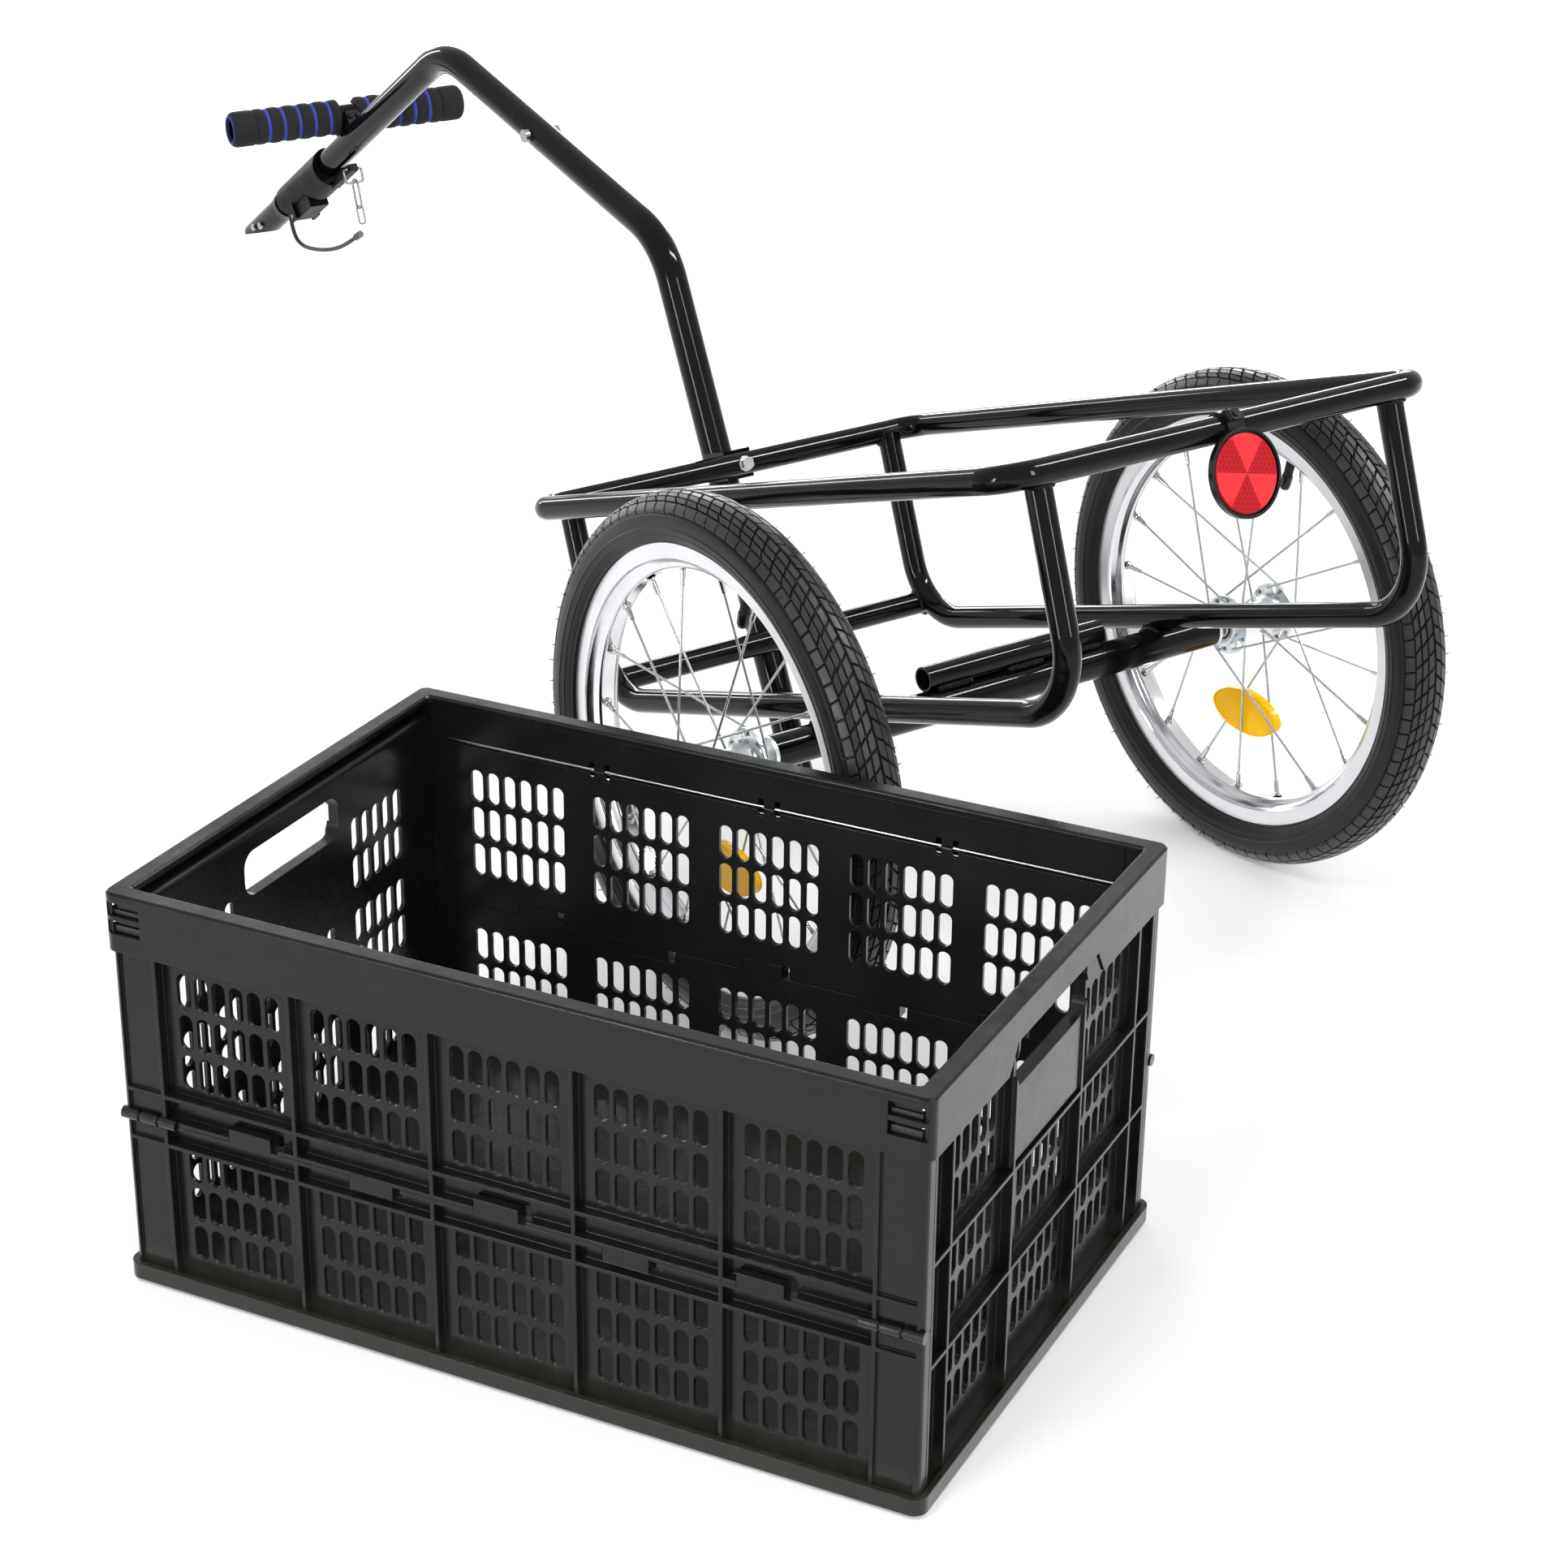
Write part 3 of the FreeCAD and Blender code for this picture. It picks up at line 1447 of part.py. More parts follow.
def slot_grid(base):
    slots = []
    for bay in spaced(side_bays, side_bay_pitch):
        for column in spaced(slot_columns, slot_pitch):
            for row in range(slot_rows):
                z = base + row * slot_row_pitch
                slots.append(slot_wire(bay + column, z, slot_pitch * slot_width_share, slot_length))
    return slots


def upright_ribs(xs, z0, z1, depth):
    return [block(x - crate_rib_wall / 2, x + crate_rib_wall / 2, 0, depth, z0, z1) for x in xs]


def level_ribs(zs, half_length, depth):
    return [block(-half_length, half_length, 0, depth, z, z + crate_rib_wall) for z in zs]


rib_places = spaced(side_bays + 1, side_bay_pitch)
lower_seam = crate_mid_height - crate_fit_gap / 2
upper_seam = crate_mid_height + crate_fit_gap / 2
upper_top = crate_height - crate_ledge_thickness


def corner_posts(z0, z1):
    """Flat posts at both ends with a raised lip at their outer edge."""
    post_start = rib_places[-1]
    posts = []
    for sign in (-1, 1):
        for start, depth in (
            (post_start, wall_depth - crate_post_sink),
            (wall_half_length - crate_post_lip, wall_depth),
        ):
            posts.append(signed_block(sign, start, wall_half_length, 1, 0, depth, z0, z1))
    return posts


def wall_outline(z0, z1):
    return [
        V(wall_half_length, 0, z0),
        V(-wall_half_length, 0, z0),
        V(-wall_half_length, 0, z1),
        V(wall_half_length, 0, z1),
    ]


def seam_tab_boxes(parity, z0, z1, gap, play):
    """Boxes of every other tab across the middle seam, with a gap round them and play at one end."""
    boxes = []
    for index, x in enumerate(spaced(side_bays, crate_tab_pitch)):
        if index % 2 == parity:
            start = x - crate_tab_offset - crate_tab_length / 2
            boxes.append(block(
                start - gap,
                start + crate_tab_length + gap + play,
                -gap,
                wall_depth + gap,
                z0,
                z1,
            ))
    return boxes


up_tabs = seam_tab_boxes(0, lower_seam - crate_rib_wall, lower_seam + crate_tab_height, 0, 0)
up_notches = seam_tab_boxes(0, crate_mid_height, upper_seam + crate_tab_height, crate_fit_gap, crate_tab_play)
down_tabs = seam_tab_boxes(1, upper_seam - crate_tab_height, upper_seam + crate_rib_wall, 0, 0)
down_notches = seam_tab_boxes(1, lower_seam - crate_tab_height, crate_mid_height, crate_fit_gap, crate_tab_play)
wall_envelope = rounded_plate(
    wall_half_length, half_w - crate_side_inset, crate_corner_radius - crate_side_inset, wall_bottom, upper_top
)
wall_envelope.translate(V(0, -inner_half_w, 0))
lower_wall = fused(
    [slotted_skin(wall_outline(wall_bottom, lower_seam), slot_grid(lower_slot_base), crate_skin)]
    + upright_ribs(rib_places, wall_bottom, lower_seam, wall_depth)
    + level_ribs(
        [wall_bottom, lower_seam - crate_mid_channel, lower_seam - crate_rib_wall], wall_half_length, wall_depth
    )
    + corner_posts(wall_bottom, lower_seam)
).cut(down_notches)
upper_wall = fused(
    [slotted_skin(wall_outline(upper_seam, upper_top), slot_grid(upper_slot_base), crate_skin)]
    + upright_ribs(rib_places, upper_seam, upper_top, wall_depth)
    + level_ribs([upper_seam, upper_seam + crate_mid_channel], wall_half_length, wall_depth)
    + corner_posts(upper_seam, upper_top)
).cut(up_notches)
lower_wall = largest(fused([lower_wall] + up_tabs).common(wall_envelope))
upper_wall = largest(fused([upper_wall] + down_tabs).common(wall_envelope))


def mid_pin(start, direction):
    """A knuckled steel pin along direction."""
    knuckle = (mid_pin_length - mid_pin_neck_length * (mid_pin_knuckles - 1)) / mid_pin_knuckles
    profile = [(0, 0)]
    for index in range(mid_pin_knuckles):
        begin = index * (knuckle + mid_pin_neck_length)
        profile += [(begin, mid_pin_radius), (begin + knuckle, mid_pin_radius)]
        if index < mid_pin_knuckles - 1:
            profile += [
                (begin + knuckle, mid_pin_neck_radius),
                (begin + knuckle + mid_pin_neck_length, mid_pin_neck_radius),
            ]
    profile.append((mid_pin_length, 0))
    return turned(profile, start, direction)


mid_pins = []
for name, sign in (("left", 1), ("right", -1)):
    for half_name, wall in (("lower", lower_wall), ("upper", upper_wall)):
        shape = wall.copy()
        shape.translate(V(0, inner_half_w, 0))
        if sign < 0:
            shape = shape.mirror(V(0, 0, 0), V(0, 1, 0))
        crate["crate_wall_" + name + "_" + half_name] = shape
    for end in (-1, 1):
        y = sign * (inner_half_w + wall_depth - mid_pin_inset)
        start = V(end * (wall_half_length + mid_pin_overhang), y, crate_mid_height)
        mid_pins.append(mid_pin(start, V(-end, 0, 0)))
crate["crate_mid_pins"] = Part.makeCompound(mid_pins)

# Steel rods in a groove along the inside of the upper walls, held at three clips each
rods = []
grooves = []
rod_y = inner_half_w + rod_radius + rod_gap
rod_end = wall_half_length - rod_end_margin
clip_ends = []
for clip in spaced(rod_clip_count, rod_clip_pitch):
    clip_ends += [clip - rod_clip_length / 2, clip + rod_clip_length / 2]
groove_ends = [-rod_end] + clip_ends + [rod_end]
groove_depth = (rod_radius + rod_gap) * 2
groove_half_height = rod_radius + rod_gap
for sign in (-1, 1):
    rods.append(rod(V(-rod_end, sign * rod_y, rod_height), V(rod_end, sign * rod_y, rod_height), rod_radius))
    for x0, x1 in zip(groove_ends[::2], groove_ends[1::2]):
        grooves.append(signed_block(
            1,
            x0,
            x1,
            sign,
            inner_half_w - overrun,
            inner_half_w + groove_depth,
            rod_height - groove_half_height,
            rod_height + groove_half_height,
        ))
    for x, way in zip(clip_ends, (-1, 1) * rod_clip_count):
        grooves.append(signed_block(
            1,
            x,
            x + way * rod_clip_slot_width,
            sign,
            inner_half_w - overrun,
            inner_half_w + crate_skin,
            rod_height - rod_clip_slot_half_height,
            rod_height + rod_clip_slot_half_height,
        ))
crate["crate_rods"] = Part.makeCompound(rods)
for name in ("left", "right"):
    lower_key = "crate_wall_" + name + "_lower"
    upper_key = "crate_wall_" + name + "_upper"
    crate[lower_key] = largest(crate[lower_key].cut(mid_pins + [crate["crate_base"]]))
    crate[upper_key] = largest(crate[upper_key].cut(block_cutters + mid_pins + grooves + rods))

# End walls: one piece, slotted, with a hand hole; they swing inward and up on two pivots


def end_wall_slots(cup_low):
    slots = []
    side_place = (end_centre_bay + end_side_bay) / 2
    for bay, columns in ((-side_place, end_side_columns), (0, end_centre_columns), (side_place, end_side_columns)):
        for column in spaced(columns, end_slot_pitch):
            for index in range(end_bay_rows * end_rows_per_bay):
                bay_row, row = divmod(index, end_rows_per_bay)
                base = end_slot_base + bay_row * end_bay_row_pitch + row * slot_row_pitch
                by_hand_cup = bay == 0 and base + slot_length > cup_low
                if not by_hand_cup:
                    slots.append(slot_wire(bay + column, base, end_slot_pitch * slot_width_share, slot_length))
    return slots


def end_wall_solid():
    """Drawn in the plane x = 0 with y across, its outer face towards +x."""
    depth = end_skin + end_rib_depth
    low = wall_bottom + end_floor_gap
    hole_low = hand_hole_top - hand_hole_height
    cup_low = hole_low - hand_cup_depth
    outline = [
        V(-end_half_width, 0, low),
        V(end_half_width, 0, low),
        V(end_half_width, 0, pivot_height),
        V(-end_half_width, 0, pivot_height),
    ]
    skin = slotted_skin(outline, end_wall_slots(cup_low), end_skin)
    rib_xs = [
        end_centre_bay / 2,
        end_centre_bay / 2 + end_side_bay,
        end_half_width - crate_rib_wall / 2,
    ]
    ribs = upright_ribs(rib_xs + [-x for x in rib_xs], low, pivot_height, depth)
    rib_heights = [low]
    for bay_row in range(1, end_bay_rows):
        rib_heights.append(end_slot_base + bay_row * end_bay_row_pitch - (end_bay_row_gap + crate_rib_wall) / 2)
    ribs += level_ribs(rib_heights, end_half_width, depth)
    cup = block(
        -hand_hole_half_width - crate_rib_wall,
        hand_hole_half_width + crate_rib_wall,
        0,
        depth - hand_cup_sink,
        cup_low,
        hand_hole_top + crate_rib_wall,
    )
    hole = block(
        -hand_hole_half_width, hand_hole_half_width, -overrun, depth + overrun, hole_low, hand_hole_top
    )
    level = [edge for edge in hole.Edges if abs(edge.tangentAt(edge.FirstParameter).y) > 0.5]
    hole = hole.makeFillet(hand_hole_round, level)
    barrel = rod(V(-end_half_width, depth / 2, pivot_height), V(end_half_width, depth / 2, pivot_height), depth / 2)
    pin_reach = end_half_width + end_wall_gap + end_pivot_length - end_pivot_clearance
    pin = rod(V(-pin_reach, depth / 2, pivot_height), V(pin_reach, depth / 2, pivot_height), end_pivot_radius)
    return fused([skin, cup, barrel, pin] + ribs).cut(hole)


end_wall = end_wall_solid()
end_wall.rotate(V(0, 0, 0), up, -90)
end_wall.translate(V(end_inner, 0, 0))
crate["crate_end_near"] = end_wall
crate["crate_end_far"] = end_wall.mirror(V(0, 0, 0), V(1, 0, 0))

for name, shape in crate.items():
    shape.rotate(V(0, 0, 0), up, crate_yaw_deg)
    shape.translate(crate_centre)
    nodes[name] = shape

# The origin lies on the floor under the middle of the whole object's box
whole = FreeCAD.BoundBox()
for shape in nodes.values():
    whole.add(shape.optimalBoundingBox(False))
origin_shift = V(-whole.Center.x, -whole.Center.y, -whole.ZMin)

if __name__ == "__main__":
    os.makedirs("parts", exist_ok=True)
    for name, shape in nodes.items():
        shape.translate(origin_shift)
        shape.exportStep("parts/" + name + ".step")
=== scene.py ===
import math
import random

import bmesh
import bpy
from mathutils import Matrix, Vector


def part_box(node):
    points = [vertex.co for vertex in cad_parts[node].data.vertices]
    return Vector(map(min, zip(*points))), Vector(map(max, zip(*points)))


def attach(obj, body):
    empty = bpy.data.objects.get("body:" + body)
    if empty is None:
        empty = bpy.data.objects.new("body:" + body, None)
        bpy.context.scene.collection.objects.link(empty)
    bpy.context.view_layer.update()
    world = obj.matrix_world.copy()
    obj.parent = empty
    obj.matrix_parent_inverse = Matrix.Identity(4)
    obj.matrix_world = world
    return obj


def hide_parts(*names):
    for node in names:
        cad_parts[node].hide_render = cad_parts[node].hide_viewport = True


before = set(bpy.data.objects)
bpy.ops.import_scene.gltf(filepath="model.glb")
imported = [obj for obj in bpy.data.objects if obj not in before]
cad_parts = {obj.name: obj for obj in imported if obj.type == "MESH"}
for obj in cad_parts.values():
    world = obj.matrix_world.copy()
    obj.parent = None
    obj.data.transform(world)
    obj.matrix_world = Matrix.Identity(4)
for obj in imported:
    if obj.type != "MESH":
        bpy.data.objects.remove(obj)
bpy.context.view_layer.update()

# Bicycle cargo trailer with its folding crate beside it. Metres.
# The trailer's own frame: x to its right, y forward, z up, about the axle's middle
axle_place = Vector((0.22998620, -0.32335721, 0.2))
nose_down = math.radians(18.23)
trailer_frame = Matrix.Translation(axle_place) @ Matrix.Rotation(-nose_down, 4, "X")
half_track = 0.2559

# Wheel
wheel_radius = 0.2
tyre_half_width = 0.022
tyre_belly_radius = 0.1785
tyre_crown_power = 2 / 2.35
tyre_bead_half_width = 0.0127
tyre_bead_drop = 0.0012
tyre_bead_depth = 0.006
rim_edge_radius = 0.166
rim_half_width = 0.0149
rim_depth = 0.021
rim_nose_radius = rim_edge_radius - rim_depth
hub_flange_offset = 0.025
hub_flange_radius = 0.0235
hub_flange_thickness = 0.003
hub_half_length = 0.032
hub_barrel_radius = 0.0156
hub_waist_radius = 0.0115
hub_bearing_radius = 0.0135
spoke_count = 20
spoke_step = 2 * math.pi / spoke_count
spoke_crosses = 2
spoke_radius = 0.00095
spoke_hole_radius = 0.0012
spoke_hole_circle_radius = 0.0202
spoke_inner_gap = 0.0001
spoke_outer_gap = 0.0018
spoke_head_lift = 0.0013
tread_pitches = 96
tread_depth = 0.0027
tread_edge_deg = 72
tread_fade_deg = 6
tread_groove_share = 0.15
valve_angle = math.radians(103) + nose_down

# Frame's tubes, where beads of weld join them
tube_radius = 0.0095
axle_tube_radius = 0.013
rail_height = 0.1828
rail_front = 0.311
rail_rear = -0.294
hoop_offset = 0.159
hoop_bottom_height = 0.0221
hoop_elbow_radius = 0.051
crossbar_middle = Vector((0, 0.297, 0.0362))

# Drawbar's front run, with the handle on it
drawbar_offset = 0.008
high_bend_forward = 0.6645
high_bend_height = 0.5709
front_run_slope = 0.264
front_run_angle = math.atan(front_run_slope)
bar_forward = 0.868
bar_lift = 0.024
bar_twist = math.radians(9)
bar_tilt = math.radians(3.9)
bar_radius = 0.011
grip_radius = 0.0165
grip_start = 0.0084
grip_end = 0.114


# Materials


class Nodes:
    """A node tree and short ways to build it."""

    def __init__(self, tree):
        self.tree = tree

    def feed(self, socket, value):
        """Links an output to the socket, or sets the socket to a plain value."""
        if hasattr(value, "links"):
            self.tree.links.new(value, socket)
        else:
            socket.default_value = value

    def node(self, kind, **inputs):
        node = self.tree.nodes.new(kind)
        for name, value in inputs.items():
            self.feed(node.inputs[name], value)
        return node

    def feed_in_order(self, node, *values):
        for socket, value in zip(node.inputs, values):
            self.feed(socket, value)

    def math(self, operation, *values):
        node = self.node("ShaderNodeMath")
        node.operation = operation
        self.feed_in_order(node, *values)
        return node.outputs["Value"]

    def ramp(self, value, low, high, from_low=0.0, from_high=1.0):
        """Low to high while the value runs between two bounds, and level beyond them."""
        node = self.node("ShaderNodeMapRange")
        self.feed_in_order(node, value, from_low, from_high, low, high)
        return node.outputs["Result"]

    def blend(self, factor, first, second):
        """A shader between two."""
        node = self.node("ShaderNodeMixShader")
        self.feed_in_order(node, factor, first, second)
        return node.outputs["Shader"]


class Finish(Nodes):
    """A node material and short ways to build it."""

    def __init__(self, name, colour, roughness, metallic=0.0, coat=0.0, coat_roughness=0.1, specular=0.5):
        self.material = bpy.data.materials.new(name)
        self.material.use_nodes = True
        super().__init__(self.material.node_tree)
        self.shader = self.tree.nodes["Principled BSDF"]
        self.colour = colour
        start = {
            "Base Color": (*colour, 1),
            "Roughness": roughness,
            "Metallic": metallic,
            "Coat Weight": coat,
            "Coat Roughness": coat_roughness,
            "Specular IOR Level": specular,
        }
        for socket, value in start.items():
            self.shader.inputs[socket].default_value = value
        self.place = self.node("ShaderNodeTexCoord").outputs["Object"]

    def times(self, first, second):
        return self.math("MULTIPLY", first, second)

    def plus(self, first, second):
        return self.math("ADD", first, second)

    def distance(self, first, second):
        """How far a point with these two coordinates lies from the middle."""
        return self.math("SQRT", self.plus(self.math("POWER", first, 2), self.math("POWER", second, 2)))

    def noise(self, scale, detail, roughness=0.5, place=None):
        spot = place or self.place
        node = self.node("ShaderNodeTexNoise", Vector=spot, Scale=scale, Detail=detail, Roughness=roughness)
        return node.outputs["Fac"]

    def cells(self, scale):
        return self.node("ShaderNodeTexVoronoi", Vector=self.place, Scale=scale)

    def axes(self):
        node = self.node("ShaderNodeSeparateXYZ", Vector=self.place)
        return node.outputs["X"], node.outputs["Y"], node.outputs["Z"]

    def mix(self, factor, first, second):
        """A colour between two, each a socket or a plain colour."""
        node = self.node("ShaderNodeMix")
        node.data_type = "RGBA"
        self.feed(node.inputs[0], factor)
        for index, value in ((6, first), (7, second)):
            self.feed(node.inputs[index], value if hasattr(value, "links") else (*value, 1))
        return node.outputs[2]

    def paint(self, colour):
        self.feed(self.shader.inputs["Base Color"], colour)

    def rough(self, value):
        self.feed(self.shader.inputs["Roughness"], value)

    def bump(self, height, strength, distance, rounding=0.0):
        """Relief from a height, on edges that are eased where a rounding is given."""
        node = self.node("ShaderNodeBump", Height=height, Strength=strength, Distance=distance)
        if rounding:
            bevel = self.node("ShaderNodeBevel", Radius=rounding)
            bevel.samples = 4
            self.feed(node.inputs["Normal"], bevel.outputs["Normal"])
        self.feed(self.shader.inputs["Normal"], node.outputs["Normal"])


def tone(colour, share):
    return tuple(channel * share for channel in colour)


def enamel_finish(name, wave, depth):
    """Gloss black stove enamel on steel tube: faint orange peel, a little dust and rub."""
    dust_colour = (0.016, 0.0155, 0.0145)
    finish = Finish(name, (0.0026, 0.0029, 0.0033), 0.1, specular=0.13)
    peel = finish.noise(wave, 2)
    cloud = finish.noise(14, 4)
    dust = finish.noise(900, 3, 0.7)
    film = finish.times(finish.ramp(cloud, 0, 1, 0.5, 0.75), finish.ramp(dust, 0, 1, 0.5, 0.8))
    finish.paint(finish.mix(film, finish.colour, dust_colour))
    finish.rough(finish.plus(finish.ramp(cloud, 0.06, 0.13, 0.3, 0.7), finish.times(film, 0.2)))
    finish.bump(peel, depth, 0.0004, 0.0005)
    return finish.material


def moulded_finish(
    name, colour, low, high, grain, edge=0.0006, dust=(0.03, 0.026, 0.021), dust_share=0.35,
    specular=0.3, foot=0.0,
):
    """Injection moulded black plastic: flow marks, scuffs, a film of dust, and patches lighter and browner
    towards the foot.
    """
    finish = Finish(name, colour, (low + high) / 2, specular=specular)
    flow = finish.noise(9, 5, 0.6)
    scuff = finish.noise(75, 6, 0.72)
    fine = finish.noise(grain, 3, 0.6)
    film = finish.times(finish.ramp(flow, 0, dust_share, 0.48, 0.78), finish.ramp(scuff, 0, 1, 0.4, 0.75))
    if foot:
        # Lighter, browner patches low down, towards the foot.
        _, _, z = finish.axes()
        low_down = finish.times(finish.ramp(z, foot, 0, 0.016, 0.03), finish.ramp(scuff, 0.6, 1, 0.3, 0.7))
        film = finish.math("MAXIMUM", film, low_down)
    finish.paint(finish.mix(film, finish.colour, dust))
    gloss = finish.ramp(flow, low, high, 0.32, 0.68)
    finish.rough(finish.plus(gloss, finish.ramp(scuff, -0.05, 0.08, 0.3, 0.75)))
    finish.bump(finish.plus(finish.times(fine, 0.35), finish.times(scuff, 0.65)), 0.12, 0.0006, edge)
    return finish.material


def rubber_finish(name, colour, rough, grain, specular=0.18, rounding=0.0):
    """Tyre rubber: matt, with a dusty bloom and a fine mould grain."""
    finish = Finish(name, colour, rough, specular=specular)
    bloom = finish.noise(26, 4, 0.6)
    fine = finish.noise(grain, 3, 0.65)
    finish.paint(finish.mix(finish.ramp(bloom, 0, 0.8, 0.35, 0.75), colour, tone(colour, 2.1)))
    finish.rough(finish.ramp(bloom, rough - 0.08, rough + 0.1, 0.3, 0.7))
    finish.bump(fine, 0.22, 0.0005, rounding)
    return finish.material


def metal_finish(name, colour, rough_low, rough_high, grain, strength, spangle=0.0):
    """Plated or drawn metal: a faint cloud, a fine grain and, on zinc, flakes of crystal."""
    finish = Finish(name, colour, rough_low, metallic=1.0)
    cloud = finish.noise(grain / 9, 4, 0.6)
    fine = finish.noise(grain, 3, 0.6)
    shade = finish.mix(finish.ramp(cloud, 0, 1, 0.3, 0.7), colour, tone(colour, 0.84))
    if spangle:
        flakes = finish.cells(spangle).outputs["Color"]
        shade = finish.mix(finish.ramp(flakes, 0, 0.5), shade, tone(colour, 0.7))
    finish.paint(shade)
    finish.rough(finish.ramp(fine, rough_low, rough_high, 0.3, 0.7))
    finish.bump(fine, strength, 0.0003)
    return finish.material


def rim_finish():
    """Aluminium rim: flanges turned to a fine satin, the channel between them polished."""
    colour = (0.6, 0.61, 0.63)
    groove_scale = 2600
    channel_edge = 0.0139
    flange_edge = 0.0147
    finish = Finish("rim_aluminium", colour, 0.2, metallic=1.0)
    x, y, z = finish.axes()
    rings = finish.node(
        "ShaderNodeCombineXYZ",
        X=finish.times(finish.distance(y, z), groove_scale),
        Y=finish.times(x, groove_scale),
    )
    turning = finish.noise(1.0, 3, 0.6, rings.outputs["Vector"])
    cloud = finish.noise(30, 4, 0.6)
    flange = finish.ramp(finish.math("ABSOLUTE", x), 0, 1, channel_edge, flange_edge)
    polish = finish.ramp(cloud, 0.07, 0.17, 0.3, 0.7)
    satin = finish.plus(finish.times(turning, 0.12), 0.3)
    wear = finish.node("ShaderNodeMix")
    for index, value in ((0, flange), (2, polish), (3, satin)):
        finish.feed(wear.inputs[index], value)
    finish.rough(wear.outputs[0])
    finish.paint(finish.mix(finish.ramp(cloud, 0, 1, 0.25, 0.75), colour, tone(colour, 0.88)))
    finish.bump(turning, 0.1, 0.0003)
    return finish.material


def foam_finish(name, colour):
    """Closed-cell foam: fine pores, no gloss."""
    finish = Finish(name, colour, 0.92, specular=0.25)
    pores = finish.cells(1300).outputs["Distance"]
    cloud = finish.noise(60, 4, 0.6)
    finish.paint(finish.mix(finish.ramp(cloud, 0, 1, 0.3, 0.7), colour, tone(colour, 1.8)))
    finish.rough(finish.ramp(pores, 0.98, 0.82, 0.0, 0.6))
    finish.bump(finish.plus(finish.times(pores, 0.6), finish.times(cloud, 0.8)), 0.5, 0.0006)
    return finish.material


def cloth_finish(name, colour):
    """Woven nylon tape: fine diagonal ribs."""
    finish = Finish(name, colour, 0.6, specular=0.4)
    wave = finish.node("ShaderNodeTexWave", Vector=finish.place, Scale=420.0, Distortion=0.4)
    wave.bands_direction = "DIAGONAL"
    rib = wave.outputs["Fac"]
    finish.paint(finish.mix(rib, colour, tone(colour, 2.4)))
    finish.rough(finish.ramp(rib, 0.66, 0.46))
    finish.bump(rib, 0.5, 0.0004)
    return finish.material


def prism_finish(name, bright, shaded_colour, pitch, sectors, wall):
    """A reflex lens: rows of small prisms in sectors, up to its wall. The disc lies in its own x, y. Its
    sectors are painted alternately lit and shaded, and painted shade lies in the grooves between the prisms,
    more in the shaded sectors.
    """
    wall_width = 0.0003
    finish = Finish(name, bright, 0.25, coat=0.2, coat_roughness=0.03, specular=0.1)
    x, y, _ = finish.axes()
    rows = []
    for turn in (0, math.pi / 3, 2 * math.pi / 3):
        run = finish.plus(finish.times(x, math.cos(turn) / pitch), finish.times(y, math.sin(turn) / pitch))
        rows.append(finish.math("PINGPONG", run, 0.5))
    pit = finish.math("MINIMUM", finish.math("MINIMUM", rows[0], rows[1]), rows[2])
    angle = finish.math("ARCTAN2", y, x)
    sector = finish.math("PINGPONG", finish.times(angle, sectors / (2 * math.pi)), 1.0)
    # Painted light and shade: alternate sectors take the lit colour and the others the shaded colour.
    side = finish.ramp(sector, 0, 1, 0.46, 0.54)
    shade = finish.mix(side, bright, shaded_colour)
    # Painted shade in the grooves between the prisms, stronger in the shaded sectors.
    groove_shade = finish.times(finish.ramp(pit, 1, 0, 0.05, 0.2), finish.ramp(side, 0.3, 0.85))
    face = finish.mix(groove_shade, shade, tone(shaded_colour, 0.45))
    border = finish.ramp(finish.distance(x, y), 0, 1, wall, wall + wall_width)
    finish.paint(finish.mix(border, face, tone(shaded_colour, 0.5)))
    finish.bump(pit, 0.3, 0.0008)
    return finish.material


def ribbed_finish(name, bright, shaded_colour, pitch):
    """A clear lens over fine ribs along its length. The plate lies in its own x, y. The grooves between the
    ribs carry painted shade, in patches.
    """
    finish = Finish(name, bright, 0.2, coat=0.08, coat_roughness=0.04, specular=0.1)
    _, y, _ = finish.axes()
    rib = finish.math("PINGPONG", finish.times(y, 1 / pitch), 0.5)
    cloud = finish.noise(70, 3, 0.6)
    # Painted shade in the rib grooves, in patches.
    groove_shade = finish.times(finish.ramp(rib, 1, 0, 0.02, 0.24), finish.ramp(cloud, 0.45, 1, 0.35, 0.65))
    finish.paint(finish.mix(groove_shade, bright, shaded_colour))
    finish.bump(rib, 0.25, 0.0005)
    return finish.material


enamel = enamel_finish("black_enamel", 310.0, 0.06)
weld_enamel = enamel_finish("weld_enamel", 700.0, 0.8)
crate_plastic = moulded_finish(
    "crate_polypropylene", (0.0048, 0.0057, 0.0062), 0.17, 0.3, 1500.0, edge=0.0011,
    dust=(0.032, 0.028, 0.023), specular=0.2, foot=0.75,
)
crate_pocket = moulded_finish(
    "crate_pocket_dusty", (0.022, 0.019, 0.015), 0.45, 0.6, 1500.0,
    dust=(0.11, 0.09, 0.065), dust_share=0.9,
)
hitch_plastic = moulded_finish(
    "coupling_plastic", (0.0032, 0.0032, 0.0034), 0.4, 0.54, 2600.0, edge=0.001, specular=0.09
)
clamp_plastic = moulded_finish("clamp_plastic", (0.004, 0.004, 0.0043), 0.16, 0.26, 2600.0, edge=0.0006)
cap_rubber = rubber_finish("cap_rubber", (0.010, 0.010, 0.010), 0.6, 900.0)
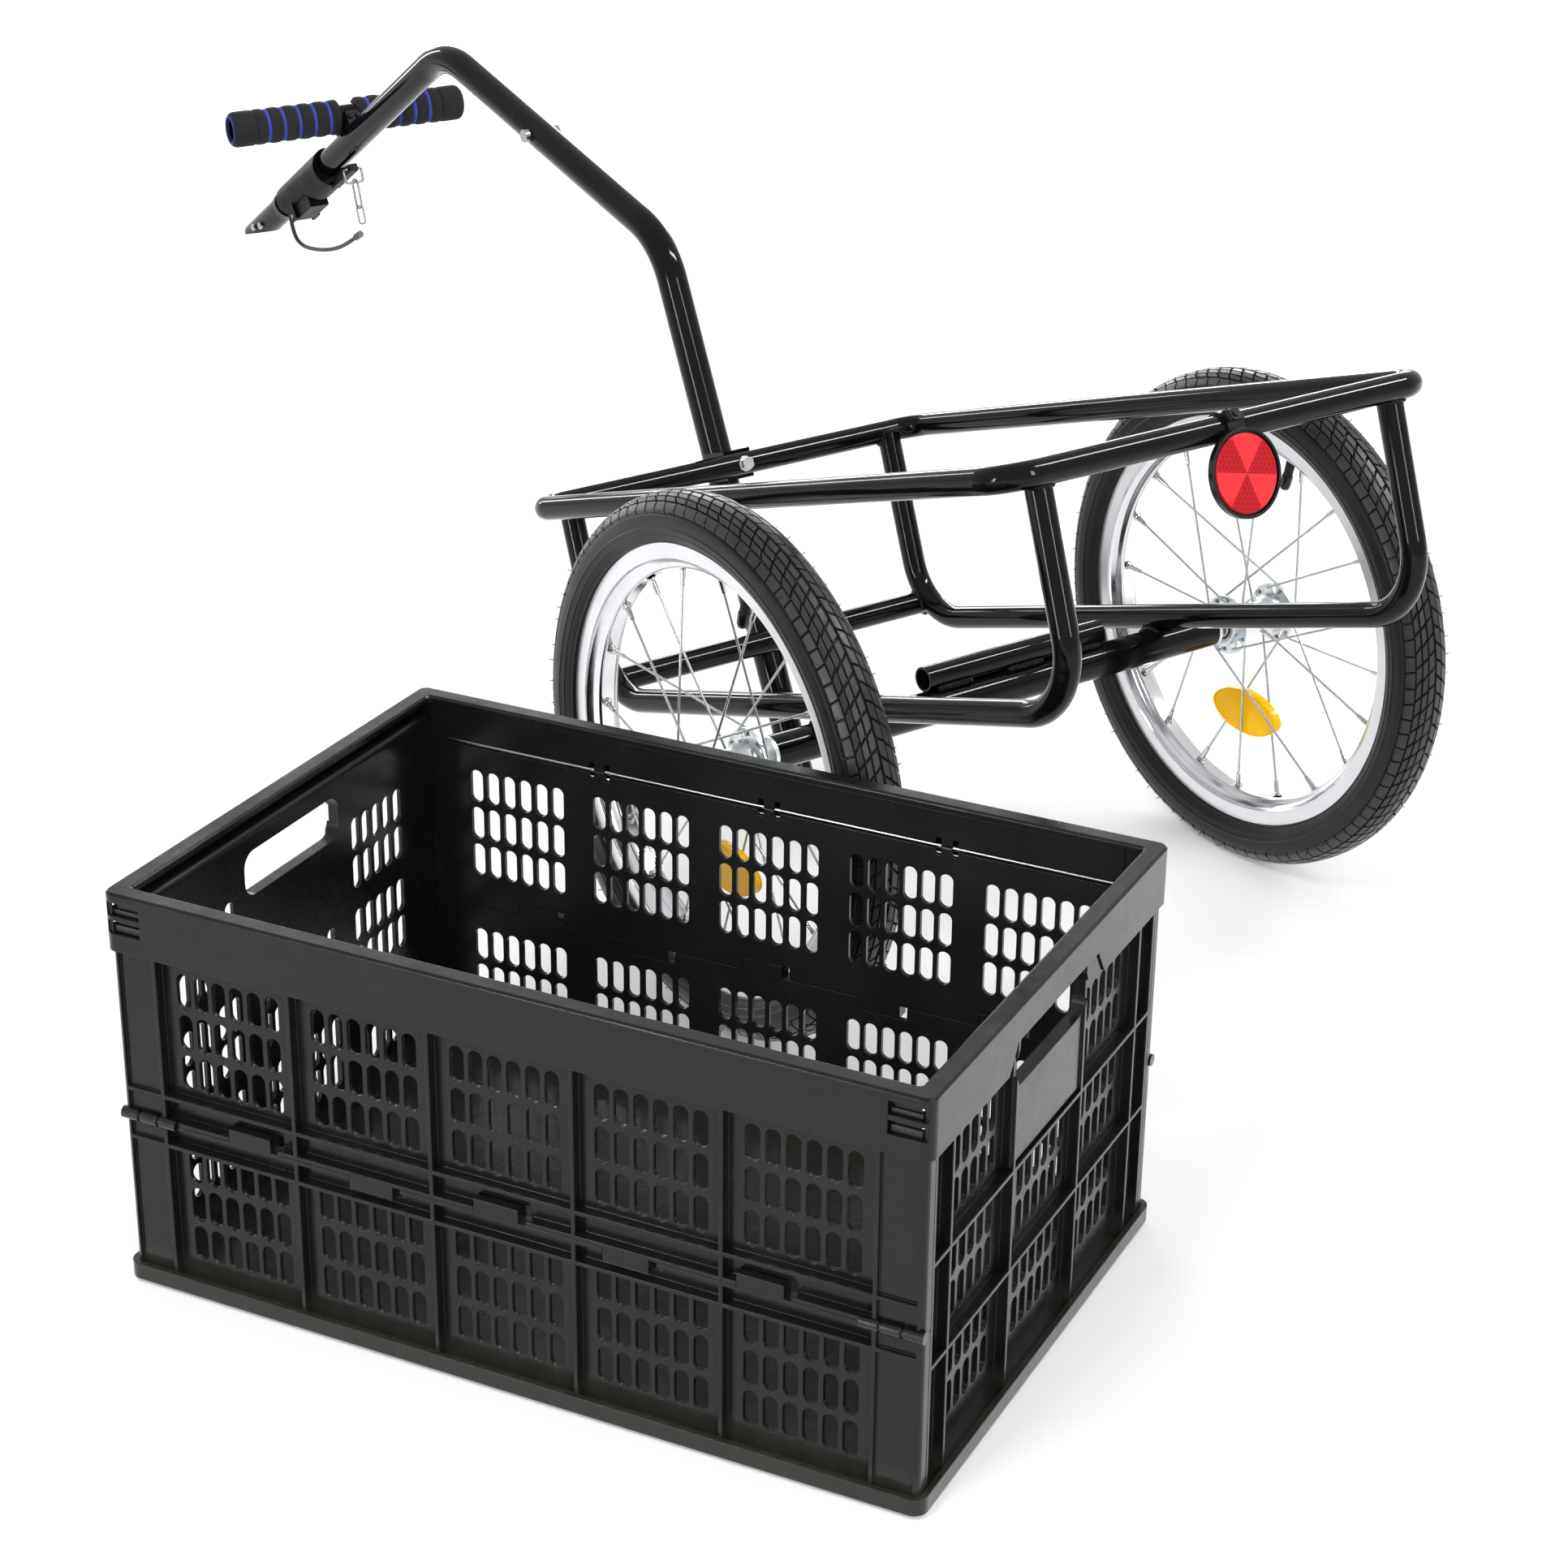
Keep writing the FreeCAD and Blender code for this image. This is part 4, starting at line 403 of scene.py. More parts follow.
# Painted light and shade: the tread blocks are a lighter copy of the rubber, and the carcass under them and
# on the side walls a darker copy, so the grooves read dark.
tread_rubber_lit = rubber_finish("tread_rubber_lit", (0.0105, 0.0112, 0.0114), 0.36, 1500.0, 0.3, 0.0009)
carcass_rubber_shaded = rubber_finish("carcass_rubber_shaded", (0.0048, 0.005, 0.0052), 0.36, 2200.0)
rim_aluminium = rim_finish()
zinc = metal_finish("zinc_plate", (0.66, 0.7, 0.72), 0.26, 0.42, 900.0, 0.14, 260.0)
spoke_steel = metal_finish("spoke_steel", (0.42, 0.43, 0.44), 0.2, 0.34, 2400.0, 0.06)
nickel = metal_finish("nickel_plate", (0.5, 0.5, 0.49), 0.1, 0.2, 1800.0, 0.06)
ring_steel = metal_finish("ring_steel", (0.2, 0.2, 0.205), 0.18, 0.3, 1800.0, 0.06)
screw_steel = metal_finish("screw_steel", (0.3, 0.3, 0.31), 0.2, 0.34, 1600.0, 0.08)
rod_steel = metal_finish("rod_steel", (0.26, 0.265, 0.27), 0.16, 0.28, 2400.0, 0.06)
bolt_zinc = metal_finish("bolt_zinc", (0.72, 0.74, 0.76), 0.2, 0.34, 1600.0, 0.1)
foam = foam_finish("grip_foam", (0.0065, 0.0065, 0.007))
blue_foam = foam_finish("grip_band_blue", (0.022, 0.036, 0.24))
strap_nylon = cloth_finish("strap_nylon", (0.007, 0.007, 0.0072))
# Each lens: its colour in the light, then the colour of its painted shade.
lens_red = prism_finish("lens_red", (0.95, 0.034, 0.042), (0.55, 0.005, 0.01), 0.0034, 6, 0.0262)
lens_amber = ribbed_finish("lens_amber", (1.0, 0.56, 0.0), (0.95, 0.38, 0.0), 0.0018)


# Mesh helpers


def add_object(name, mesh, material, matrix):
    piece = bpy.data.objects.new(name, mesh)
    bpy.context.scene.collection.objects.link(piece)
    piece.data.materials.append(material)
    piece.matrix_world = matrix
    return piece


def smoothed(mesh, sharp_deg):
    """The mesh shaded smooth but for edges sharper than the angle."""
    mesh.shade_smooth()
    mesh.set_sharp_from_angle(angle=math.radians(sharp_deg))
    return mesh


def mesh_from(name, vertices, faces, sharp_deg):
    mesh = bpy.data.meshes.new(name)
    mesh.from_pydata([tuple(v) for v in vertices], [], faces)
    mesh.validate()
    edit = bmesh.new()
    edit.from_mesh(mesh)
    bmesh.ops.recalc_face_normals(edit, faces=edit.faces)
    edit.to_mesh(mesh)
    edit.free()
    return smoothed(mesh, sharp_deg)


def around_x(along, radius, turn):
    return Vector((along, radius * math.cos(turn), radius * math.sin(turn)))


def on_circle(radius, turn, centre=(0.0, 0.0)):
    return (centre[0] + radius * math.cos(turn), centre[1] + radius * math.sin(turn))


def circle_points(radius, count, centre=(0.0, 0.0)):
    return [on_circle(radius, 2 * math.pi * step / count, centre) for step in range(count)]


def loft_faces(around, rings, closed=False, capped=False, first=0):
    """The faces between rings of points that follow each other."""
    faces = []
    for ring in range(rings if closed else rings - 1):
        base = first + ring * around
        after = first + (ring + 1) % rings * around
        for step in range(around):
            following = (step + 1) % around
            faces.append((base + step, base + following, after + following, after + step))
    if capped:
        faces.append(tuple(range(first + around - 1, first - 1, -1)))
        faces.append(tuple(range(first + (rings - 1) * around, first + rings * around)))
    return faces


def rounded(profile, reach):
    """The outline with each inner corner eased by a short curve."""
    steps = 3
    points = [profile[0]]
    for index in range(1, len(profile) - 1):
        corner = Vector(profile[index])
        back = Vector(profile[index - 1]) - corner
        on = Vector(profile[index + 1]) - corner
        start = corner + back.normalized() * min(reach, back.length * 0.45)
        end = corner + on.normalized() * min(reach, on.length * 0.45)
        for step in range(steps + 1):
            share = step / steps
            bend = start * (1 - share) ** 2 + corner * 2 * share * (1 - share) + end * share ** 2
            points.append(tuple(bend))
    points.append(profile[-1])
    return points


def lathe(name, profile, segments, closed=False, sharp_deg=35.0):
    """A turned form about x from (along, radius) points."""
    vertices = []
    faces = []
    count = len(profile)
    for step in range(segments):
        turn = 2 * math.pi * step / segments
        vertices += [around_x(along, radius, turn) for along, radius in profile]
        base = step * count
        after = ((step + 1) % segments) * count
        for index in range(count if closed else count - 1):
            following = (index + 1) % count
            faces.append((base + index, after + index, after + following, base + following))
    return mesh_from(name, vertices, faces, sharp_deg)



def frames_along(points, closed):
    """A point, a normal and a side for each point, turned as little as possible along the path."""
    count = len(points)
    tangents = []
    for index in range(count):
        back = points[index - 1] if closed or index else points[index]
        on = points[(index + 1) % count] if closed or index < count - 1 else points[index]
        tangents.append((on - back).normalized())
    seed = Vector((0, 0, 1)) if abs(tangents[0].z) < 0.9 else Vector((1, 0, 0))
    normal = (seed - tangents[0] * seed.dot(tangents[0])).normalized()
    placed = []
    for point, tangent in zip(points, tangents):
        normal = (normal - tangent * normal.dot(tangent)).normalized()
        placed.append((point, normal, tangent.cross(normal)))
    return placed


def tube_mesh(name, points, radii, segments, closed=False, sharp_deg=50.0):
    """A round tube along the points, with one radius or one for each point."""
    if not hasattr(radii, "__len__"):
        radii = [radii] * len(points)
    vertices = []
    for (point, normal, side), radius in zip(frames_along(points, closed), radii):
        for step in range(segments):
            turn = 2 * math.pi * step / segments
            vertices.append(point + normal * radius * math.cos(turn) + side * radius * math.sin(turn))
    faces = loft_faces(segments, len(points), closed, capped=not closed)
    return mesh_from(name, vertices, faces, sharp_deg)


def stepped_pin(name, start, direction, stations, segments, sharp_deg=50.0):
    """A round pin through (along, radius) stations."""
    path = [start + direction * along for along, _ in stations]
    return tube_mesh(name, path, [radius for _, radius in stations], segments, sharp_deg=sharp_deg)


def joined(name, meshes):
    """One mesh from several, each with its own vertices."""
    edit = bmesh.new()
    for mesh in meshes:
        edit.from_mesh(mesh)
    result = bpy.data.meshes.new(name)
    edit.to_mesh(result)
    edit.free()
    for mesh in meshes:
        bpy.data.meshes.remove(mesh)
    return result


def box_mesh(name, low, high, bevel):
    edit = bmesh.new()
    bmesh.ops.create_cube(edit, size=1.0)
    middle = (low + high) / 2
    size = high - low
    for vertex in edit.verts:
        vertex.co = Vector((vertex.co.x * size.x, vertex.co.y * size.y, vertex.co.z * size.z)) + middle
    bmesh.ops.bevel(edit, geom=edit.edges[:], offset=bevel, segments=2, profile=0.5, affect="EDGES")
    mesh = bpy.data.meshes.new(name)
    edit.to_mesh(mesh)
    edit.free()
    return smoothed(mesh, 40)


def flat_plate(name, outline, holes, thickness, bevel, matrix):
    """A plate in its own x, y with round or shaped holes and eased edges."""
    curve = bpy.data.curves.new(name, "CURVE")
    curve.dimensions = "2D"
    curve.fill_mode = "BOTH"
    curve.extrude = thickness / 2 - bevel
    curve.bevel_depth = bevel
    curve.bevel_resolution = 2
    curve.offset = -bevel
    for points in [outline] + holes:
        spline = curve.splines.new("POLY")
        spline.points.add(len(points) - 1)
        for target, point in zip(spline.points, points):
            target.co = (point[0], point[1], 0, 1)
        spline.use_cyclic_u = True
    holder = bpy.data.objects.new(name, curve)
    bpy.context.scene.collection.objects.link(holder)
    bpy.context.view_layer.update()
    mesh = bpy.data.meshes.new_from_object(holder.evaluated_get(bpy.context.evaluated_depsgraph_get()))
    bpy.data.objects.remove(holder)
    mesh.transform(matrix)
    return smoothed(mesh, 40)


def dress(material, *names):
    """Gives CAD nodes a finish."""
    for name in names:
        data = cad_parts[name].data
        data.materials.clear()
        data.materials.append(material)


def finish_piece(piece, body, slot, *replaced):
    """Puts a piece on its body, in place of the nodes that it stands for. Its slot is not used."""
    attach(piece, body)
    if replaced:
        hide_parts(*replaced)


# Wheels


def tyre_section(turn, lift):
    """A point of the tyre's outer section: turn is 0 at the crown and 90 degrees at the widest place."""
    belly = wheel_radius - tyre_belly_radius
    sine = math.sin(abs(turn))
    cosine = math.cos(turn)
    if abs(turn) <= math.pi / 2:
        along = tyre_half_width * sine ** tyre_crown_power
        radius = tyre_belly_radius + belly * max(cosine, 0.0) ** tyre_crown_power
    else:
        along = tyre_bead_half_width + (tyre_half_width - tyre_bead_half_width) * sine
        radius = tyre_belly_radius + (tyre_belly_radius - rim_edge_radius + tyre_bead_drop) * cosine
    normal = Vector((sine, cosine)).normalized()
    along += normal.x * lift
    radius += normal.y * lift
    return (math.copysign(along, turn) if turn else 0.0, radius)


def tyre_carcass():
    """The tyre under its blocks, with the moulded rings on the side walls."""
    # Each ring's place and width in degrees from the crown, and its height
    rings = ((96, 2.0, 0.0007), (117, 1.6, 0.0008), (150, 3.0, 0.0009))
    bead_foot = rim_edge_radius - tyre_bead_depth
    profile = [(-tyre_bead_half_width, bead_foot)]
    for degrees in range(-168, 169, 2):
        cover = min(max((tread_edge_deg - abs(degrees)) / tread_fade_deg, 0.0), 1.0)
        lift = -tread_depth * cover
        for centre, width, height in rings:
            lift += height * math.exp(-((abs(degrees) - centre) / width) ** 2)
        profile.append(tyre_section(math.radians(degrees), lift))
    profile.append((tyre_bead_half_width, bead_foot))
    return lathe("tyre_carcass", profile, 192, closed=True, sharp_deg=60)


def tread_blocks():
    """Slanted blocks in columns across the crown, and larger ones on the shoulders."""
    # Each column's near and far edge in degrees from the crown, where both start in pitches,
    # and how many points each edge has
    columns = (
        (1.5, 12.6, 0.00, 0.30, 2),
        (15.4, 26.6, 0.34, 0.66, 2),
        (29.4, 41.1, 0.62, 0.98, 2),
        (44.0, 72.0, 0.12, 0.20, 4),
    )
    # The lift and the spread of each ring of points, from a block's foot to its top
    crown_rings = ((-tread_depth * 1.15, 1.06), (-0.00045, 1.0), (0.0, 0.93))
    shoulder_rings = ((-tread_depth * 0.8, 1.04), (-0.0004, 1.0), (0.0, 0.965))
    foot_limit = -0.001
    taper_share = 0.06
    shoulder_groove_share = 0.7
    shoulder_end_deg = 72.5
    shoulder_fade_deg = 8
    shoulder_drop = tread_depth * 0.75
    pitch = 2 * math.pi / tread_pitches
    vertices = []
    faces = []
    for sign in (-1, 1):
        skew = 0.5 if sign > 0 else 0.0
        for near, far, phase_near, phase_far, stations in columns:
            shoulder = stations > 2
            rings = shoulder_rings if shoulder else crown_rings
            span = 1.0 - tread_groove_share * (shoulder_groove_share if shoulder else 1.0)
            middle = (near + far) / 2
            for index in range(tread_pitches):
                near_start = (index + phase_near + skew) * pitch
                far_start = (index + phase_far + skew) * pitch
                starts = []
                ends = []
                for station in range(stations):
                    share = station / (stations - 1)
                    degrees = near + (far - near) * share
                    start = near_start + (far_start - near_start) * share
                    taper = taper_share * (share - 0.5) * (1 if index % 2 else -1)
                    starts.append((degrees, start + taper * pitch))
                    ends.append((degrees, start + (span - taper) * pitch))
                outline = starts + ends[::-1]
                middle_turn = sum(turn for _, turn in outline) / len(outline)
                first = len(vertices)
                for lift, spread in rings:
                    for degrees, turn in outline:
                        fade = min(1.0, (shoulder_end_deg - degrees) / shoulder_fade_deg) if shoulder else 1.0
                        placed = lift if lift < foot_limit else lift - shoulder_drop * (1 - fade)
                        across = math.radians(sign * (middle + (degrees - middle) * spread))
                        turned = middle_turn + (turn - middle_turn) * spread
                        vertices.append(around_x(*tyre_section(across, placed), turned))
                around = len(outline)
                faces += loft_faces(around, len(rings), first=first)
                top = first + (len(rings) - 1) * around
                for near_corner in range(stations - 1):
                    far_corner = around - 1 - near_corner
                    faces.append((
                        top + near_corner, top + near_corner + 1, top + far_corner - 1, top + far_corner
                    ))
    return mesh_from("tread_blocks", vertices, faces, 30)


def vent_hairs():
    """Short rubber whiskers left by the mould along both tread edges."""
    rng = random.Random(7)
    count = 72
    foot_depth = 0.0003
    foot_radius = 0.0004
    tip_radius = 0.00022
    meshes = []
    for sign in (-1, 1):
        for index in range(count):
            turn = 2 * math.pi * (index + rng.uniform(-0.3, 0.3)) / count
            across = math.radians(sign * rng.choice((44, 58, 66)))
            foot = tyre_section(across, -foot_depth)
            tip = tyre_section(across, rng.uniform(0.0016, 0.0032))
            lean = rng.uniform(-0.006, 0.006)
            ends = [around_x(*foot, turn), around_x(*tip, turn + lean)]
            meshes.append(tube_mesh("hair", ends, [foot_radius, tip_radius], 5))
    return joined("vent_hairs", meshes)


def rim_mesh():
    """Deep single-wall rim: outer flanges, stepped shoulders and a flat polished bed."""
    nose = rim_nose_radius
    half = [
        (0.0, nose + 0.0004),
        (0.0052, nose + 0.0002),
        (0.0068, nose + 0.0012),
        (0.0088, nose + 0.0052),
        (0.0118, nose + 0.0086),
        (0.0136, nose + 0.0094),
        (rim_half_width - 0.0004, nose + 0.0088),
        (rim_half_width, nose + 0.0096),
        (rim_half_width, rim_edge_radius - 0.0016),
        (rim_half_width + 0.0002, rim_edge_radius - 0.0004),
        (rim_half_width - 0.0006, rim_edge_radius),
        (rim_half_width - 0.0019, rim_edge_radius - 0.0002),
        (rim_half_width - 0.0021, rim_edge_radius - 0.009),
        (0.0078, rim_edge_radius - 0.0136),
        (0.0046, nose + 0.0036),
        (0.0, nose + 0.0034),
    ]
    outline = rounded(half, 0.0009)
    mirrored = [(-along, radius) for along, radius in reversed(outline[1:-1])]
    return lathe("rim", outline + mirrored, 192, closed=True, sharp_deg=38)


def spoke_turns():
    """For each spoke: its flange's side, the way it leads, and its angles at the rim and the hub."""
    turns = []
    for index in range(spoke_count):
        flange = 1 if index % 2 else -1
        lead = 1 if (index // 2) % 2 else -1
        rim_angle = index * spoke_step
        turns.append((flange, lead, rim_angle, rim_angle + lead * spoke_crosses * 2 * spoke_step))
    return turns


def spoke_ends():
    """For each spoke: its head, its elbow at the hub and its end at the rim."""
    ends = []
    for flange, lead, rim_angle, hub_angle in spoke_turns():
        gap = spoke_outer_gap if lead > 0 else spoke_inner_gap
        face = hub_flange_offset + lead * (hub_flange_thickness / 2 + spoke_radius + gap)
        back = hub_flange_offset - lead * (hub_flange_thickness / 2 + spoke_head_lift)
        head = around_x(flange * back, spoke_hole_circle_radius, hub_angle)
        inner = around_x(flange * face, spoke_hole_circle_radius, hub_angle)
        outer = around_x(0, rim_nose_radius, rim_angle)
        ends.append((head, inner, outer))
    return ends


def spokes_mesh():
    elbow = 0.0009
    elbow_run = 0.0016
    elbow_end = 0.002
    straight_start = 0.02
    rim_gap = 0.001
    head_stations = ((-0.0002, 0.0013), (0.0003, 0.0019), (0.0011, 0.0016))
    meshes = []
    for head, inner, outer in spoke_ends():
        axis = (outer - inner).normalized()
        inward = (inner - head).normalized()
        path = [head, inner - inward * elbow]
        for share in (0.25, 0.5, 0.75):
            path.append(inner - inward * elbow * (1 - share) ** 2 + axis * elbow_run * share ** 2)
        path += [inner + axis * elbow_end, inner + axis * straight_start, outer - axis * rim_gap]
        meshes.append(tube_mesh("spoke", path, spoke_radius, 10))
        meshes.append(stepped_pin("spoke_head", head, inward, head_stations, 12))
    return joined("spokes", meshes)


def nipples_mesh():
    stations = (
        (0.0002, 0.0024), (0.0014, 0.0026), (0.0022, 0.0021), (0.0085, 0.0020),
        (0.0098, 0.0018), (0.013, 0.0017), (0.0133, 0.0012),
    )
    seat_stations = ((0.0, 0.0038), (0.0007, 0.0034))
    meshes = []
    for _, inner, outer in spoke_ends():
        inward = (inner - outer).normalized()
        meshes.append(stepped_pin("nipple", outer, inward, stations, 12, sharp_deg=30))
        meshes.append(stepped_pin("nipple_seat", outer, inward, seat_stations, 16))
    return joined("nipples", meshes)


def hub_mesh():
    """Pressed hub: waisted barrel, flat flanges with spoke holes and round openings."""
    half = [
        (hub_half_length, hub_bearing_radius),
        (hub_half_length, hub_barrel_radius),
        (hub_flange_offset + 0.0012, hub_barrel_radius),
        (hub_flange_offset - 0.0016, hub_barrel_radius),
        (hub_flange_offset - 0.0075, hub_barrel_radius - 0.001),
        (hub_flange_offset - 0.0135, hub_waist_radius),
    ]
    barrel = [(-along, radius) for along, radius in half] + half[::-1]
    flange_bore = 0.0152
    opening_radius = 0.0027
    opening_circle_radius = 0.0193
    plate_thickness = 0.0024
    plate_ease = 0.0003
    meshes = [lathe("barrel", rounded(barrel, 0.0014), 72)]
    to_axle = Matrix(((0, 0, 1, 0), (1, 0, 0, 0), (0, 1, 0, 0), (0, 0, 0, 1)))
    for sign in (-1, 1):
        turns = [hub_angle for flange, _, _, hub_angle in spoke_turns() if flange == sign]
        holes = [circle_points(flange_bore, 48)]
        for turn in turns:
            holes.append(circle_points(spoke_hole_radius, 14, on_circle(spoke_hole_circle_radius, turn)))
        for turn in sorted(turn % (2 * math.pi) for turn in turns)[::2]:
            centre = on_circle(opening_circle_radius, turn + spoke_step)
            holes.append(circle_points(opening_radius, 22, centre))
        place = Matrix.Translation((sign * hub_flange_offset, 0, 0)) @ to_axle
        outline = circle_points(hub_flange_radius, 96)
        meshes.append(flat_plate("flange", outline, holes, plate_thickness, plate_ease, place))
    return joined("hub", meshes)


def mirrored_rings(name, part_name, ring, reach, segments):
    """Two turned rings at the hub's ends, from (depth under the end, radius) points."""
    meshes = []
    for sign in (-1, 1):
        profile = [(sign * (hub_half_length - depth), radius) for depth, radius in ring]
        meshes.append(lathe(part_name, rounded(profile, reach) if reach else profile, segments))
    return joined(name, meshes)


def bearing_mesh():
    race = (
        (0.004, 0.0051), (0.0, 0.0051), (0.0, 0.0076), (0.0009, 0.0080),
        (0.0009, 0.0110), (0.0, 0.0113), (0.0, 0.0134), (0.004, 0.0134),
    )
    return mirrored_rings("bearings", "race", race, 0.0003, 56)


def seal_mesh():
    seal = ((0.0011, 0.0079), (0.0006, 0.0094), (0.0011, 0.0111))
    return mirrored_rings("seals", "seal", seal, 0.0, 48)


def oval_point(half_length, half_height, turn, height):
    """A point of a pointed oval about its own z."""
    rise = half_height * abs(math.sin(turn)) ** 1.12
    return Vector((half_length * math.cos(turn), math.copysign(rise, math.sin(turn)), height))


def oval_plate(name, half_length, half_height, crown, thickness):
    """A pointed oval lens in its own x, y: crowned face, bevelled edge, flat back."""
    around = 72
    sink = 0.0004
    levels = []
    for share, height_share in ((1.0, -0.5), (1.0, 0.18), (0.985, 0.36), (0.93, 0.5)):
        levels.append((share, thickness * height_share))
    for share, rise_share in ((0.9, 0.0), (0.7, 0.35), (0.4, 0.8), (0.15, 0.98)):
        levels.append((share, thickness * 0.5 + crown * rise_share - sink))
    vertices = []
    for share, height in levels:
        for step in range(around):
            turn = 2 * math.pi * step / around
            vertices.append(oval_point(half_length * share, half_height * share, turn, height))
    return mesh_from(name, vertices, loft_faces(around, len(levels), capped=True), 32)


def side_reflector(side_name, sign):
    """Amber oval clipped between the spokes below the hub."""
    half_length = 0.036
    half_height = 0.0178
    set_back = Vector((0, -0.0078, 0))
    edge_height = 0.003
    edge_radius = 0.0007
    edge_points = 72
    mesh = oval_plate("side_reflector", half_length, half_height, 0.0012, 0.0062)
    low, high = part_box("side_reflector_" + side_name)
    turned = Matrix(((0, 0, -sign, 0), (1, 0, 0, 0), (0, 1, 0, 0), (0, 0, 0, 1)))
    matrix = Matrix.Translation((low + high) / 2 + set_back) @ turned
    piece = add_object("lens_side_" + side_name, mesh, lens_amber, matrix)
    rim = []
    for step in range(edge_points):
        turn = 2 * math.pi * step / edge_points
        rim.append(oval_point(half_length * 0.98, half_height * 0.96, turn, edge_height))
    edge_mesh = tube_mesh("edge", rim, edge_radius, 8, closed=True)
    edge = add_object("lens_side_edge_" + side_name, edge_mesh, lens_amber, matrix)
    edge.parent = piece
    edge.matrix_parent_inverse = piece.matrix_world.inverted()
    return piece


def axle_end_mesh():
    """Wheel bolt seen at the hub's outer face: washer, hexagon nut with eased corners, thread end."""
    washer_start = 0.0323
    washer_end = 0.0341
    washer_bore = 0.0052
    nut_middle = 0.0381
    nut_height = 0.008
    nut_across_flats = 0.0170
    thread_start = 0.0421
    thread_end = 0.0447
    thread_pitch = 0.0005
    washer = [
        (washer_start, washer_bore), (washer_start, 0.0093), (washer_end, 0.0095), (washer_end, washer_bore),
    ]
    corner = nut_across_flats / 2 / math.cos(math.pi / 6)
    nut = bmesh.new()
    bmesh.ops.create_cone(nut, cap_ends=True, segments=6, radius1=corner, radius2=corner, depth=nut_height)
    bmesh.ops.bevel(nut, geom=nut.edges[:], offset=0.0006, segments=2, profile=0.5, affect="EDGES")
    nut_mesh = bpy.data.meshes.new("nut")
    nut.to_mesh(nut_mesh)
    nut.free()
    nut_mesh.transform(Matrix.Translation((nut_middle, 0, 0)) @ Matrix.Rotation(math.pi / 2, 4, "Y"))
    thread = [(thread_start, 0.0048)]
    for turn in range(5):
        start = thread_start + turn * thread_pitch
        thread += [(start, 0.0050), (start + thread_pitch / 2, 0.0045)]
    thread += [(thread_end, 0.0042), (thread_end, 0.0)]
    return joined("axle_end", [
        lathe("washer", rounded(washer, 0.0003), 40),
        smoothed(nut_mesh, 30),
        lathe("thread", thread, 32, sharp_deg=20),
    ])


def valve_meshes(angle):
    """Stem and dust cap, pointing to the hub."""
    stem_stations = ((0.0, 0.0041), (0.004, 0.0039), (0.0045, 0.0038), (0.016, 0.0036))
    cap_stations = (
        (0.0148, 0.0042), (0.0155, 0.0044), (0.0235, 0.0044),
        (0.0262, 0.0036), (0.0272, 0.0022), (0.0276, 0.0006),
    )
    root_depth = 0.001
    axis = around_x(0, 1, angle)
    top = axis * (rim_nose_radius + root_depth)
    stem = stepped_pin("valve_stem", top, -axis, stem_stations, 20)
    cap = stepped_pin("valve_cap", top, -axis, cap_stations, 20, sharp_deg=60)
    return stem, cap


def mirrored_copy(mesh, name):
    """The mesh seen in a mirror across x."""
    copy = mesh.copy()
    copy.name = name
    copy.transform(Matrix.Diagonal((-1, 1, 1, 1)))
    copy.flip_normals()
    return copy


valve_stem, valve_cap = valve_meshes(valve_angle)
nut_and_thread = axle_end_mesh()

# Each piece of a wheel: its name, mesh, finish and slot, and the start of its node's name
wheel_pieces = (
    ("tyre_carcass", tyre_carcass(), carcass_rubber_shaded, "tyre_rubber", "tyre_"),
    ("tyre_tread", tread_blocks(), tread_rubber_lit, "tyre_rubber", None),
    ("tyre_whiskers", vent_hairs(), tread_rubber_lit, "tyre_rubber", None),
    ("rim_polished", rim_mesh(), rim_aluminium, "rim_aluminium", "rim_"),
    ("spokes_drawn", spokes_mesh(), spoke_steel, "spoke_steel", "spokes_"),
    ("nipples_turned", nipples_mesh(), nickel, "spoke_steel", "nipples_"),
    ("hub_pressed", hub_mesh(), zinc, "hub_zinc", "hub_"),
    ("hub_races", bearing_mesh(), spoke_steel, "bearing_steel", "hub_bearings_"),
    ("hub_seals", seal_mesh(), cap_rubber, "valve_rubber", None),
    ("valve_stem", valve_stem, cap_rubber, "valve_rubber", "valve_"),
    ("valve_cap", valve_cap, clamp_plastic, "valve_rubber", None),
)

for side_name, sign in (("right", 1), ("left", -1)):
    body = "wheel_" + side_name
    centre = axle_place + Vector((sign * half_track, 0, 0))

    def wheel_piece(name, mesh, material):
        own = mesh.copy() if sign > 0 else mirrored_copy(mesh, name + "_" + side_name)
        own.transform(Matrix.Rotation(-nose_down, 4, "X"))
        return add_object(name + "_" + side_name, own, material, Matrix.Translation(centre))

    for name, mesh, material, slot, node in wheel_pieces:
        replaced = [node + side_name] if node else []
        finish_piece(wheel_piece(name, mesh, material), body, slot, *replaced)
    finish_piece(side_reflector(side_name, sign), body, "amber_plastic", "side_reflector_" + side_name)
    finish_piece(wheel_piece("axle_nut", nut_and_thread, bolt_zinc), "trailer", "zinc_steel")

# Frame: enamel on the tubes, beads of weld where they meet

dress(
    enamel,
    "top_rail_loop", "side_hoop_left", "side_hoop_right", "front_lower_crossbar", "axle_cross_tube",
    "axle_receiver_tube", "drawbar_rear", "drawbar_front", "handlebar_tube", "drawbar_saddle",
)
dress(bolt_zinc, "frame_bolt", "axle_bolts")
dress(screw_steel, "hitch_screws", "drawbar_joint_bolt")
dress(zinc, "axle_end_plugs")
dress(spoke_steel, "drawbar_spigot")
dress(cap_rubber, "drawbar_foot_cap")
dress(
    hitch_plastic,
    "coupling_sleeve", "latch_trigger", "coupling_tab", "handlebar_saddle", "handlebar_screws",
)
dress(ring_steel, "latch_pin", "d_ring", "strap_links")
dress(
    clamp_plastic,
    "strap_terminal", "strap_ring", "reflector_clamp", "reflector_housing", "crate_mid_pins",
)
